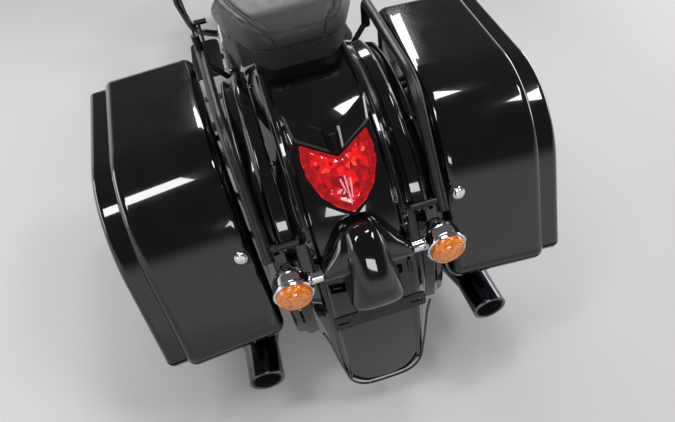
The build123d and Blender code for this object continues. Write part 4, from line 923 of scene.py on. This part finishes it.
# Nacelle: one domed hood over the bar, with shoulders that run out to the signal stems
# Columns of the hood: y, middle x, half width, base, crown; of the shoulders: x, middle y, and the same
nacelleSetup = {
    "angle": 62.0,
    "sunk": 20.0,
    "squareness": 2.9,
    "steps": 28,
    "spacing": 5.0,
    "hood": [(60, 0, 17, 0, 48), (56, 0, 27, 0, 62), (46, 0, 36, 0, 76), (24, 0, 43, 0, 90),
             (-4, 0, 47, 0, 99), (-34, 0, 49, 4, 105), (-62, 0, 50, 26, 103), (-80, 0, 50, 50, 96),
             (-88, 0, 47, 58, 90), (-91, 0, 42, 63, 85)],
    "shoulders": [(-84, -19, 11, 30, 58), (-79, -18, 15, 22, 62), (-62, -8, 28, 0, 68), (-36, 6, 46, 0, 74),
                  (0, 10, 52, 0, 78), (36, 6, 46, 0, 74), (62, -8, 28, 0, 68), (79, -18, 15, 22, 62),
                  (84, -19, 11, 30, 58)],
}


def archShell(bm, rows, setup, turn):
    # Closed shell through arches: each row is place, middle, half width, base and crown
    power = 2 / setup["squareness"]
    rings = []
    for place, middle, half, base, crown in smoothLine(rows, setup["spacing"]):
        ring = []
        for k in range(setup["steps"] + 1):
            a = math.pi * k / setup["steps"]
            across = math.copysign(abs(math.cos(a)) ** power, math.cos(a)) * half + middle
            up = base + (crown - base) * math.sin(a) ** power
            ring.append(bm.verts.new(turn @ Vector((across, place, up))))
        rings.append(ring)
    bridge(bm, rings)
    bm.faces.new(rings[0])
    bm.faces.new(rings[-1])


def makeNacelle(setup):
    bm = bmesh.new()
    archShell(bm, setup["hood"], setup, Matrix.Identity(3))
    archShell(bm, setup["shoulders"], setup, Matrix(((0, 1, 0), (1, 0, 0), (0, 0, 1))))
    place = bodyPlace @ fenderSpot(setup["angle"], bikeSizes["fenderRadius"] - setup["sunk"])
    hoodPiece = addPiece("nacelleHood", bm, place, slotOf["tail_nacelle"], "chassis", sharp=55.0)
    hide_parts("tail_nacelle")


makeNacelle(nacelleSetup)

# Fender bolts: one behind on each side and three along each upper edge, found by rays from outside
fenderBoltSetup = {
    "rear": ((91, -500, 640), (0, 1, -0.55)),
    "edgeX": 112,
    "edgeY": (-210, -40, 90),
    "above": 900,
    "radius": 4.5,
    "height": 3.2,
}


def addFenderBolts(setup):
    start, way = setup["rear"]
    rows = [(sided(start, side), way) for side in (1, -1)]
    for side in (1, -1):
        rows += [((setup["edgeX"] * side, y, setup["above"]), (0, 0, -1)) for y in setup["edgeY"]]
    spots = boltsOn(surfaceOf(["rear_fender"], bodyPlace), rows)
    addBolts("fenderBolts", spots, setup["radius"], setup["height"], bodyPlace, "chassis", "dark_chrome")


addFenderBolts(fenderBoltSetup)

# Saddlebag locks: a plain barrel in a chrome escutcheon on the inner rear corner
lockSetup = {
    "spot": (221.0, -287.0, 508.0),
    "way": (0.07, 0.91, -0.41),
    "back": 60.0,
    "sunk": 0.6,
    "profile": [(13, 0), (13, 2), (11.5, 3.4), (9, 3.8), (8.6, 6.4), (7.4, 7.6), (4, 8), (3.2, 6.4),
                (0, 6.2)],
}


def makeLocks(setup):
    for name, side in (("right", 1), ("left", -1)):
        tree = surfaceOf(["lid_" + name, "saddlebags"], bodyPlace)
        way = Vector(sided(setup["way"], side)).normalized()
        point, normal = onSurface(tree, Vector(sided(setup["spot"], side)) - way * setup["back"], way)
        bm = bmesh.new()
        lathe(bm, setup["profile"], along(point - normal * setup["sunk"], normal), sides=32)
        addPiece(name + "BagLock", bm, bodyPlace, "chrome", name + "_bag_lid")


makeLocks(lockSetup)

# Tailpipe ends: rolled lip and a near-black liner, soot together with painted shade of the pipe's inside
tailpipeSetup = {
    "end": (258.0, -405.0, 232.0),
    "way": (0, -1, -0.0145),
    "lip": [(30, -3), (31, 0.5), (34, 2.4), (37, 1.4), (38.3, -1.5)],
    "liner": [(29.4, -1.0), (29.0, -64.0), (0.0, -66.0)],
}


def makeTailpipes(setup):
    lips, liners = bmesh.new(), bmesh.new()
    for side in (1, -1):
        where = along(sided(setup["end"], side), setup["way"])
        lathe(lips, setup["lip"], where, sides=64)
        lathe(liners, setup["liner"], where)
    addPiece("tailpipeLips", lips, bodyPlace, "dark_chrome", "chassis", sharp=50.0, outward=False)
    # The liner's near-black is soot and painted shade deep in the pipe
    sootAndShade = powderCoat("pipeSootAndShade", "#0b0a09", "#1a1714", rough=0.85)
    addPiece("tailpipeLiners", liners, bodyPlace, "dark_chrome", "chassis", sootAndShade, outward=False)


makeTailpipes(tailpipeSetup)
print("stage: tail trim")

# Tyres: grooved tread over the crown, plain shoulders, beads hidden by the rim
tyreSetup = {
    "rear_tyre": {"axle": bikeSizes["rearAxle"], "place": bodyPlace, "body": "rear_wheel",
                  "radius": 311.0, "width": 180.0, "rim": 203.0, "crown": 104.0},
    "front_tyre": {"axle": bikeSizes["frontAxle"], "place": steerPlace, "body": "front_wheel",
                   "radius": 319.0, "width": 130.0, "rim": 241.0, "crown": 76.0},
}
# Shares are of the half width; rows of the wall are share of the half width and millimetres added,
# then share of the wall's height and millimetres added
treadSetup = {
    "depth": 4.5,
    "rowsAround": 360,
    "columns": 40,
    "pitch": 24,
    "plainShare": 0.97,
    "straightShare": 0.22,
    "straightWidth": 4.5,
    "slantShare": 0.3,
    "slantLean": 0.34,
    "slantWidth": 3.2,
    "crossShare": 0.2,
    "crossLean": 0.2,
    "crossWidth": 2.2,
    "wall": [(1.0, 0.4, 0.75, 0.0), (0.985, 0.0, 0.5, 0.0), (0.9, 0.0, 0.0, 12.0), (0.74, 0.0, 0.0, 1.0)],
}


def treadDepth(x, step, half, setup):
    share = abs(x) / half
    if share > setup["plainShare"]:
        return 0.0
    pitch = setup["pitch"]
    straight = abs(abs(x) - half * setup["straightShare"]) < setup["straightWidth"] / 2
    phase = (step + (0.5 if x > 0 else 0.0) * pitch + abs(x) * setup["slantLean"]) % pitch
    slanted = share > setup["slantShare"] and phase < setup["slantWidth"]
    cross = share < setup["crossShare"] and (step + x * setup["crossLean"]) % pitch < setup["crossWidth"]
    return setup["depth"] if straight or slanted or cross else 0.0


def makeTyre(name, size, setup):
    half = size["width"] / 2
    spread = math.asin(half / size["crown"])
    profile = []
    for i in range(setup["columns"] + 1):
        a = -spread + 2 * spread * i / setup["columns"]
        radius = size["radius"] - size["crown"] * (1 - math.cos(a))
        profile.append((size["crown"] * math.sin(a), radius, True))
    height = profile[-1][1] - size["rim"]
    wall = [(half * across + out, size["rim"] + height * share + over, False)
            for across, out, share, over in setup["wall"]]
    profile = [sided(p, -1) for p in wall[::-1]] + profile + wall
    y0, z0 = size["axle"][1:]
    bm = bmesh.new()
    rings = []
    for step in range(setup["rowsAround"]):
        a = step * math.tau / setup["rowsAround"]
        ring = []
        for x, radius, tread in profile:
            radius -= treadDepth(x, step, half, setup) if tread else 0.0
            ring.append(bm.verts.new((x, y0 + radius * math.cos(a), z0 + radius * math.sin(a))))
        rings.append(ring)
    bridge(bm, rings, closed=True)
    piece = addPiece(name + "Tread", bm, size["place"], "tyre", size["body"], sharp=30.0)
    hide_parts(name)


for name, size in tyreSetup.items():
    makeTyre(name, size, treadSetup)

# Wheels: rim edge lines, valves, disc bolts, and near-black patches on the discs painted as the shade seen through
# their holes
# Rows of bolts are x, way out, count and radius; of disc faces x and way out
wheelSetup = {
    "rear": {"axle": bikeSizes["rearAxle"], "place": bodyPlace, "body": "rear_wheel", "rim": 203.0,
             "edge": 70.8, "bolts": [(101, 1, 5, 94), (-126, -1, 5, 52)], "faces": [(101, 1)]},
    "front": {"axle": bikeSizes["frontAxle"], "place": steerPlace, "body": "front_wheel", "rim": 241.0,
              "edge": 52.8, "bolts": [(75, 1, 5, 94), (-75, -1, 5, 94)], "faces": [(75, 1), (-75, -1)]},
}
trimSetup = {
    "rimLine": [(-13, 0), (-11, 1.6), (-5, 1.8), (-3, 0)],
    "valve": [(3.4, 0), (3.4, 4), (2.6, 5), (2.6, 20), (3.6, 20.5), (3.6, 27), (0, 28)],
    "valveX": 12,
    "valveInside": 38,
    "valveAngle": 20,
    "valveLean": 0.6,
    "boltAngle": 15,
    "boltRadius": 5.5,
    "boltHeight": 4.5,
    "hole": [(3.8, 0.05), (3.3, 0.3), (0, 0.28)],
    "holeCount": 36,
    "holeRadius": 122,
    "holeStep": 9,
    "holeTwist": 4,
}


def wheelSpot(axle, x, radius, angle):
    a = math.radians(angle)
    return (x, axle[1] + radius * math.cos(a), axle[2] + radius * math.sin(a))


def makeWheelTrim(name, size, setup):
    axle, place, body = size["axle"], size["place"], size["body"]
    trim = bmesh.new()
    rimLine = [(size["rim"] + inside, height) for inside, height in setup["rimLine"]]
    for side in (1, -1):
        lathe(trim, rimLine, along((size["edge"] * side, *axle[1:]), (side, 0, 0)), sides=96)
    addPiece(name + "RimLines", trim, place, "chrome", body, outward=False)
    valve = bmesh.new()
    foot = wheelSpot(axle, setup["valveX"], size["rim"] - setup["valveInside"], setup["valveAngle"])
    inwards = wheelSpot((0, 0, 0), setup["valveLean"], -1, setup["valveAngle"])
    lathe(valve, setup["valve"], along(foot, inwards), sides=20)
    addPiece(name + "Valve", valve, place, "chrome", body)
    bolts = []
    for x, side, count, radius in size["bolts"]:
        for i in range(count):
            bolts.append((wheelSpot(axle, x, radius, i * 360 / count + setup["boltAngle"]), (side, 0, 0)))
    addBolts(name + "DiscBolts", bolts, setup["boltRadius"], setup["boltHeight"], place, body)
    # Near-black patches at the discs' holes: painted shade in place of open holes
    holeShadePatches = bmesh.new()
    for x, side in size["faces"]:
        for i in range(setup["holeCount"]):
            row = i % 3
            angle = i * 360 / setup["holeCount"] + setup["holeTwist"] * row
            spot = wheelSpot(axle, x, setup["holeRadius"] + setup["holeStep"] * row, angle)
            lathe(holeShadePatches, setup["hole"], along(spot, (side, 0, 0)), sides=12)
    holeShade = powderCoat(name + "PaintedHoleShade", "#060606", "#0b0b0b", rough=0.7)
    addPiece(name + "DiscHoleShade", holeShadePatches, place, "steel", body, holeShade)


for name, size in wheelSetup.items():
    makeWheelTrim(name, size, trimSetup)

# Belt teeth: one tooth copied round the rear pulley, riding on the wheel
toothSetup = {
    "outline": [(-2.6, -13), (2.6, -13), (2.6, 13), (-2.6, 13)],
    "height": 2.4,
    "bevel": 0.8,
    "spot": (-112, 0, 116.5),
    "count": 64,
}


def makeTeeth(setup):
    bm = bmesh.new()
    slab(bm, setup["outline"], setup["height"], setup["bevel"], frameAt(setup["spot"], (0, 1, 0), (0, 0, 1)))
    bmesh.ops.recalc_face_normals(bm, faces=bm.faces)
    mesh = bpy.data.meshes.new("tooth")
    bm.to_mesh(mesh)
    bm.free()
    result = grow(mesh, "around", {"Count": setup["count"], "Finish": finishes["steel"]})
    result.transform(Matrix.Translation(bikeSizes["rearAxle"]))
    addMesh("pulleyTeeth", result, bodyPlace, "steel", "rear_wheel")


makeTeeth(toothSetup)
print("stage: wheels")

# Engine: bolts on an oval round each cover, and six on each rocker cover
coverSetup = {
    "primary": {"node": "primary_cover", "centre": (778, 335), "half": (214, 84), "side": -1, "count": 12,
                "bolt": (5.0, 4.0)},
    "cam": {"node": "cam_cover_and_pushrods", "centre": (838, 340), "half": (118, 58), "side": 1, "count": 9,
            "bolt": (4.5, 4.0)},
    "case": {"node": "engine_case", "centre": (740, 300), "half": (190, 96), "side": 1, "count": 10,
             "bolt": (5.0, 4.0)},
}
coverSearch = {"outside": 400, "firstAngle": 0.2, "flatness": 0.85}
rockerSetup = {
    "covers": [(24.5, 951, 700), (-24.5, 725, 700)],
    "across": (-56, 56),
    "along": (-62, 0, 62),
    "above": 120,
    "bolt": (6.0, 5.0),
}


def makeCoverBolts(name, size, search):
    # A ray from outside finds each place; those on steep flanks are left out
    y0, z0 = size["centre"]
    rows = []
    for i in range(size["count"]):
        a = i * math.tau / size["count"] + search["firstAngle"]
        spot = (search["outside"] * size["side"], y0 + size["half"][0] * math.cos(a),
                z0 + size["half"][1] * math.sin(a))
        rows.append((spot, (-size["side"], 0, 0)))
    found = boltsOn(surfaceOf([size["node"]], bodyPlace), rows)
    spots = [(point, way) for point, way in found if abs(way[0]) > search["flatness"]]
    addBolts(name + "CoverBolts", spots, *size["bolt"], bodyPlace, "chassis", "steel")


def makeRockerBolts(setup):
    rows = []
    for lean, y0, z0 in setup["covers"]:
        a = math.radians(lean)
        up = Vector((0, math.sin(a), math.cos(a)))
        forward = Vector((0, math.cos(a), -math.sin(a)))
        for x in setup["across"]:
            for t in setup["along"]:
                rows.append((Vector((x, y0, z0)) + forward * t + up * setup["above"], -up))
    spots = boltsOn(surfaceOf(["rocker_covers"], bodyPlace), rows)
    addBolts("rockerBolts", spots, *setup["bolt"], bodyPlace, "chassis")


for name, size in coverSetup.items():
    makeCoverBolts(name, size, coverSearch)
makeRockerBolts(rockerSetup)

# Air cleaner cover of pressed rings, fuel cap, and the bolts of the tank's console
airSetup = {
    "start": (-400, 838, 652),
    "out": 1.5,
    "rings": [(74, 0), (72, 3), (66, 4.5), (62, 2.5), (56, 2.5), (52, 5), (46, 5.5), (42, 3), (24, 3),
              (21, 7), (16, 8.5), (0, 9)],
}
tankSetup = {
    "capStart": (0, 1020, 1200),
    "cap": [(33, -3), (34, 1), (33, 5), (29, 7.5), (25, 8), (23, 10.5), (10, 11.5), (0, 11.7)],
    "boltX": (-27, 27),
    "boltY": (690, 800, 910),
    "above": 1200,
    "bolt": (3.5, 2.5),
}


def makeAirCover(setup):
    point = onSurface(surfaceOf(["air_cleaner"], bodyPlace), setup["start"], (1, 0, 0))[0]
    trim = bmesh.new()
    lathe(trim, setup["rings"], along(point + Vector((setup["out"], 0, 0)), (-1, 0, 0)), sides=72)
    addPiece("airCleanerCover", trim, bodyPlace, "chrome", "chassis")


def makeTankTrim(setup):
    tree = surfaceOf(["fuel_tank", "tank_console"], bodyPlace)
    cap = bmesh.new()
    lathe(cap, setup["cap"], along(*onSurface(tree, setup["capStart"], (0, 0, -1))), sides=56)
    addPiece("fuelCap", cap, bodyPlace, "chrome", "chassis")
    rows = [((x, y, setup["above"]), (0, 0, -1)) for x in setup["boltX"] for y in setup["boltY"]]
    addBolts("consoleBolts", boltsOn(tree, rows), *setup["bolt"], bodyPlace, "chassis", "dark_chrome")


makeAirCover(airSetup)
makeTankTrim(tankSetup)
print("stage: engine and tank")

# Grips: ribs along the rubber and a cap on each end, measured from the bar's clamp
gripSetup = {
    "clamp": (0, 2, 691),
    "clampOffset": (0, -38, 50),
    "from": (300, -49, 108),
    "to": (418, -197, 42),
    "length": 128.0,
    "radius": 17.0,
    "ribs": 15,
    "firstRib": 8.0,
    "ribSpan": 106.0,
    "rib": [(0.2, 0.0), (2.0, 1.4), (2.0, 4.6), (0.2, 6.0)],
    "capOut": 4.5,
    "cap": [(16, 0), (16.5, 2), (14, 5), (9, 6.5), (0, 7)],
}


def onFork(x, forward, up):
    # Fork frame: X right, Y forward square to the steering axis, Z up along it
    rake = math.radians(bikeSizes["rake"])
    upWay = Vector((0, -math.sin(rake), math.cos(rake)))
    forwardWay = Vector((0, math.cos(rake), math.sin(rake)))
    foot = Vector(bikeSizes["frontAxle"]) - forwardWay * bikeSizes["forkOffset"]
    return Vector((x, 0, 0)) + foot + forwardWay * forward + upWay * up


def makeGrips(setup):
    ribs, caps = bmesh.new(), bmesh.new()
    clamp = onFork(*setup["clamp"]) + Vector(setup["clampOffset"])
    start, end = clamp + Vector(setup["from"]), clamp + Vector(setup["to"])
    way = (end - start).normalized()
    profile = []
    for i in range(setup["ribs"]):
        base = setup["firstRib"] + i * setup["ribSpan"] / setup["ribs"]
        profile += [(setup["radius"] + out, base + height) for out, height in setup["rib"]]
    origin, tip = end - way * setup["length"], end + way * setup["capOut"]
    for side in (1, -1):
        lathe(ribs, profile, along(sided(origin, side), sided(way, side)), sides=28)
        lathe(caps, setup["cap"], along(sided(tip, side), sided(way, side)), sides=32)
    addPiece("gripRibs", ribs, steerPlace, "rubber", "steering", outward=False)
    addPiece("gripEndCaps", caps, steerPlace, "chrome", "steering")


makeGrips(gripSetup)

# Dash: two big gauges, four small ones, speaker grilles; all facing the rider
# Gauges and speakers are x, height and radius; a turned layer is its sides, then rows of radius
# share, millimetres added and height
dashSetup = {
    "big": [(-66, 930, 46), (66, 930, 46)],
    "small": [(-148, 985, 22), (148, 985, 22), (-148, 925, 22), (148, 925, 22)],
    "speakers": [(-228, 905, 56), (228, 905, 56)],
    "start": 1200,
    "bezel": (56, [(1, 5, -2), (1, 5, 5), (1, 3, 9), (1, 0, 9.5), (1, -2.5, 6), (1, -3, 1)]),
    "face": (48, [(1, -2.6, 1.5), (0, 0, 1.6)]),
    "glass": (40, [(1, -2.7, 6.4), (0.5, 0, 7.0), (0, 0, 7.2)]),
    "speakerRing": (56, [(1, 5, -1), (1, 5, 4), (1, 2, 6), (1, -1, 4), (1, -1, 1)]),
    "speakerFace": (40, [(1, -1, 1.2), (0, 0, 1.3)]),
    "bars": 6,
    "barPitch": 8.2,
    "barGap": 1.5,
    "barRadius": 1.1,
    "barHeights": (3, 3.4),
}
# Ticks and hand are in shares of the gauge's radius, their widths in millimetres
markSetup = {
    "bigTicks": 28,
    "smallTicks": 12,
    "firstAngle": 225,
    "sweep": 270,
    "outer": 0.84,
    "longTick": 0.16,
    "shortTick": 0.09,
    "tickHalf": 0.5,
    "tickHeight": 0.5,
    "tickBevel": 0.1,
    "tickBase": 1.7,
    "handAngle": 214,
    "handBase": 2.2,
    "hand": [(-0.12, -1.2), (0.62, -0.4), (0.62, 0.4), (-0.12, 1.2)],
    "handHeight": 0.9,
    "handBevel": 0.3,
    "pin": (20, [(0.09, 0, 2), (0.09, 0, 4.0), (0, 0, 4.4)]),
}


def addLayer(bm, layer, r, where):
    sides, rows = layer
    lathe(bm, [(r * share + added, height) for share, added, height in rows], where, sides)


def addGaugeMarks(bm, r, where, ticks, setup):
    for i in range(ticks):
        angle = math.radians(setup["firstAngle"] - setup["sweep"] * i / (ticks - 1))
        share = setup["longTick"] if i % 3 == 0 else setup["shortTick"]
        start = Matrix.Translation((r * (setup["outer"] - share), 0, setup["tickBase"]))
        half = setup["tickHalf"]
        outline = [(0, -half), (r * share, -half), (r * share, half), (0, half)]
        mark = where @ Matrix.Rotation(angle, 4, "Z") @ start
        slab(bm, outline, setup["tickHeight"], setup["tickBevel"], mark)
    turn = Matrix.Rotation(math.radians(setup["handAngle"]), 4, "Z")
    outline = [(r * share, width) for share, width in setup["hand"]]
    hand = where @ turn @ Matrix.Translation((0, 0, setup["handBase"]))
    slab(bm, outline, setup["handHeight"], setup["handBevel"], hand)
    addLayer(bm, setup["pin"], r, where)


def addGrille(bm, r, where, setup):
    for i in range(-setup["bars"], setup["bars"] + 1):
        offset = i * setup["barPitch"]
        reach = math.sqrt(max(r * r - offset**2, 1)) - setup["barGap"]
        low, high = setup["barHeights"]
        for start, end in (((offset, -reach, low), (offset, reach, low)),
                           ((-reach, offset, high), (reach, offset, high))):
            tube(bm, [where @ Vector(start), where @ Vector(end)], setup["barRadius"], sides=6)


def makeDash(setup, markSizes):
    tree = surfaceOf(["dash_panel"], steerPlace)
    bezels, faces, marks, grilles, glass = (bmesh.new() for layer in range(5))
    kinds = [(spot, markSizes["bigTicks"]) for spot in setup["big"]]
    kinds += [(spot, markSizes["smallTicks"]) for spot in setup["small"]]
    for (x, z, r), ticks in kinds:
        where = along(onSurface(tree, (x, setup["start"], z), (0, 1, 0))[0], (0, -1, 0))
        addLayer(bezels, setup["bezel"], r, where)
        addLayer(faces, setup["face"], r, where)
        addLayer(glass, setup["glass"], r, where)
        addGaugeMarks(marks, r, where, ticks, markSizes)
    for x, z, r in setup["speakers"]:
        where = along(onSurface(tree, (x, setup["start"], z), (0, 1, 0))[0], (0, -1, 0))
        addLayer(bezels, setup["speakerRing"], r, where)
        addLayer(faces, setup["speakerFace"], r, where)
        addGrille(grilles, r, where, setup)
    dial = powderCoat("dialFace", "#0a0b0d", "#101216", rough=0.6)
    ink = powderCoat("dialMarks", "#d8dad8", "#e6e8e6", rough=0.5)
    pane = clearSheet("gaugeGlass", "#f2f6f8", through=1.0, alpha=0.25)
    addPiece("gaugeBezels", bezels, steerPlace, "chrome", "steering")
    addPiece("gaugeFaces", faces, steerPlace, "matt_plastic", "steering", dial)
    addPiece("gaugeMarks", marks, steerPlace, "matt_plastic", "steering", ink)
    addPiece("speakerGrilles", grilles, steerPlace, "matt_plastic", "steering")
    addPiece("gaugeGlass", glass, steerPlace, "clear_glass", "steering", pane)


makeDash(dashSetup, markSetup)

# Headlamp: chrome bezel round a stepped, silvered face
headSetup = {
    "centre": (0, 1654, 857),
    "bezel": [(84, -22), (90, -20), (92, -10), (90, 0), (85, 3), (80, 1.5), (79, -1)],
    "face": [(79, 0.4), (70, 1.0), (66, 2.6), (52, 1.2), (48, 3.6), (34, 2.0), (30, 4.8), (16, 3.4), (12, 6),
             (0, 6.6)],
}


def makeHeadlamp(setup):
    bezel, optics = bmesh.new(), bmesh.new()
    where = along(setup["centre"], (0, 1, 0))
    lathe(bezel, setup["bezel"], where, sides=80)
    lathe(optics, setup["face"], where, sides=72)
    silver = plating("reflectorSilver", "#e6e8ea", "#dfe2e6", low=0.05, high=0.12)
    addPiece("headlampBezel", bezel, steerPlace, "chrome", "steering")
    addPiece("headlampOptics", optics, steerPlace, "clear_glass", "steering", silver)


makeHeadlamp(headSetup)
print("stage: front end")

# Footboards: moulded ribs seated on the flat of each board, found by rays from above
boardSetup = {
    "middle": 264,
    "ribs": 5,
    "pitch": 8.5,
    "rows": range(856, 1118, 6),
    "above": 420,
    "floor": 266,
    "flatness": 0.9,
    "fewestHits": 4,
    "lift": 0.6,
    "radius": 2.2,
}


def makeBoardRibs(setup):
    tree = surfaceOf(["footboards_and_pegs"], bodyPlace)
    bm = bmesh.new()
    lift = Vector((0, 0, setup["lift"]))
    for side in (1, -1):
        for i in range(-setup["ribs"], setup["ribs"] + 1):
            x = side * (setup["middle"] + i * setup["pitch"])
            hits = [onSurface(tree, (x, y, setup["above"]), (0, 0, -1)) for y in setup["rows"]]
            line = [point + lift for point, normal in hits
                    if point is not None and point.z > setup["floor"] and normal.z > setup["flatness"]]
            if len(line) >= setup["fewestHits"]:
                tube(bm, [line[0], line[-1]], setup["radius"], sides=8)
    addPiece("footboardRibs", bm, bodyPlace, "rubber", "chassis")


makeBoardRibs(boardSetup)

# Shock springs: a coil round each damper
shockSetup = {
    "low": (147.0, 67.0, 330.0),
    "high": (147.0, 49.0, 580.0),
    "coil": 23.0,
    "wire": 4.2,
    "turns": 9,
    "stepsPerTurn": 20,
}


def makeSprings(setup):
    bm = bmesh.new()
    steps = setup["turns"] * setup["stepsPerTurn"]
    for side in (1, -1):
        low, high = Vector(sided(setup["low"], side)), Vector(sided(setup["high"], side))
        where = along(low, high - low)
        length = (high - low).length
        path = []
        for i in range(steps + 1):
            a = i * math.tau / setup["stepsPerTurn"]
            spot = Vector((setup["coil"] * math.cos(a), setup["coil"] * math.sin(a), length * i / steps))
            path.append(where @ spot)
        tube(bm, path, setup["wire"], sides=8)
    addPiece("shockSprings", bm, bodyPlace, "dark_chrome", "chassis", sharp=180.0, outward=False)


makeSprings(shockSetup)

# Mirror glass: a thin bevelled pane in each shell, facing the rider
mirrorSetup = {
    "head": (352.5, 1230.1, 1202.3),
    "turn": -8.0,
    "half": (70.0, 41.0),
    "sides": 56,
    "face": 14.0,
    "thickness": 1.8,
    "bevel": 1.2,
}


def makeMirrorGlass(setup):
    bm = bmesh.new()
    wide, tall = setup["half"]
    angles = [i * math.tau / setup["sides"] for i in range(setup["sides"])]
    outline = [(wide * math.cos(t), tall * math.sin(t)) for t in angles]
    for side in (1, -1):
        a = math.radians(setup["turn"]) * side
        facing = Vector((math.sin(a), -math.cos(a), 0))
        centre = Vector(sided(setup["head"], side)) + facing * setup["face"]
        where = frameAt(centre, (math.cos(a), math.sin(a), 0), facing)
        slab(bm, outline, setup["thickness"], setup["bevel"], where)
    addPiece("mirrorGlass", bm, steerPlace, "chrome", "steering")


makeMirrorGlass(mirrorSetup)
print("stage: details")

# Light: soft panels, each placed where the paint mirrors it towards the camera
lightSetup = {
    "frontCeiling": {"spot": (-0.1, 1.75, 2.5), "aim": (0.0, -0.5, 0.5), "size": (1.9, 0.4), "watts": 38},
    "leftCeiling": {"spot": (-1.55, -1.3, 2.9), "aim": (-0.2, -0.8, 0.5), "size": (0.36, 1.0), "watts": 22},
    "rightCeiling": {"spot": (1.15, -1.35, 3.0), "aim": (0.2, -0.8, 0.5), "size": (0.8, 0.32), "watts": 20},
    "fenderWindow": {"spot": (0.3, -0.65, 3.2), "aim": (0.03, -0.8, 0.6), "size": (0.3, 0.55), "watts": 13},
    "rearWindow": {"spot": (-0.1, -3.3, 1.9), "aim": (0.0, -1.0, 0.5), "size": (0.9, 0.3), "watts": 10},
    "leftWall": {"spot": (-3.2, -0.2, 1.2), "aim": (0.0, 0.0, 0.5), "size": (2.4, 0.8), "watts": 28},
    "rightWall": {"spot": (3.2, 0.3, 1.3), "aim": (0.0, 0.0, 0.5), "size": (2.4, 0.7), "watts": 24},
}
# The surround falls from white at the horizon to dim overhead; the floor fades to white far out
studioSetup = {
    "horizon": {"From Min": 0.12, "From Max": 0.42, "To Min": 1.0, "To Max": 0.13},
    "fill": 0.38,
    "floorFade": {"From Min": 1.9, "From Max": 4.4},
    "floorColour": "#c9c9ca",
    "floorSize": 14.0,
}


def addPanel(name, setup):
    data = bpy.data.lights.new(name, "AREA")
    data.shape = "RECTANGLE"
    data.size, data.size_y = setup["size"]
    data.energy = setup["watts"]
    lamp = bpy.data.objects.new(name, data)
    way = Vector(setup["aim"]) - Vector(setup["spot"])
    lamp.matrix_world = Matrix.Translation(setup["spot"]) @ way.to_track_quat("-Z", "Y").to_matrix().to_4x4()
    scene.collection.objects.link(lamp)


def seenRays(tree):
    # 1 on rays from the camera, also mirrored or through glass, and 0 on diffuse ones
    path = addNode(tree, "ShaderNodeLightPath").outputs
    seen = path["Is Camera Ray"]
    for kind in ("Is Glossy Ray", "Is Transmission Ray"):
        seen = addNode(tree, "ShaderNodeMath", {0: seen, 1: path[kind]}, operation="MAXIMUM").outputs[0]
    return seen


def studioWorld(setup):
    # Diffuse rays get an even fill in place of the dome
    world = bpy.data.worlds.new("studio")
    world.use_nodes = True
    tree = world.node_tree
    tree.nodes.clear()
    spot = addNode(tree, "ShaderNodeTexCoord").outputs["Generated"]
    height = addNode(tree, "ShaderNodeSeparateXYZ", {0: spot}).outputs["Z"]
    dome = addNode(tree, "ShaderNodeMapRange", {"Value": height, **setup["horizon"]},
                   interpolation_type="SMOOTHSTEP")
    strength = addNode(tree, "ShaderNodeMix", {"Factor": seenRays(tree), "A": setup["fill"],
                                               "B": dome.outputs["Result"]})
    light = addNode(tree, "ShaderNodeBackground", {"Color": (1.0, 1.0, 1.0, 1.0),
                                                   "Strength": strength.outputs[0]})
    out = addNode(tree, "ShaderNodeOutputWorld")
    tree.links.new(light.outputs[0], out.inputs["Surface"])
    scene.world = world


def studioFloor(setup):
    # Pale matt floor that keeps the shadow
    mat, tree, shader, spot = newMaterial("studioFloor", setup["floorColour"], 0.75)
    roughPatches(tree, shader, spot, sizeMm=400, low=0.7, high=0.8)
    away = addNode(tree, "ShaderNodeVectorMath", {0: spot}, operation="LENGTH").outputs["Value"]
    far = addNode(tree, "ShaderNodeMapRange", {"Value": away, **setup["floorFade"]},
                  interpolation_type="SMOOTHSTEP")
    share = addNode(tree, "ShaderNodeMath", {0: seenRays(tree), 1: far.outputs["Result"]},
                    operation="MULTIPLY")
    white = addNode(tree, "ShaderNodeEmission", {"Color": (1.0, 1.0, 1.0, 1.0), "Strength": 1.0})
    mixed = addNode(tree, "ShaderNodeMixShader", {0: share.outputs[0], 1: shader.outputs[0],
                                                  2: white.outputs[0]})
    tree.links.new(mixed.outputs[0], tree.nodes["Material Output"].inputs["Surface"])
    bm = bmesh.new()
    bmesh.ops.create_grid(bm, x_segments=8, y_segments=8, size=setup["floorSize"])
    mesh = bpy.data.meshes.new("studioFloor")
    bm.to_mesh(mesh)
    bm.free()
    mesh.materials.append(mat)
    floor = bpy.data.objects.new("studioFloor", mesh)
    scene.collection.objects.link(floor)


for name, setup in lightSetup.items():
    addPanel(name, setup)
studioWorld(studioSetup)
studioFloor(studioSetup)
scene.view_settings.view_transform = "Standard"
print("stage: staged")
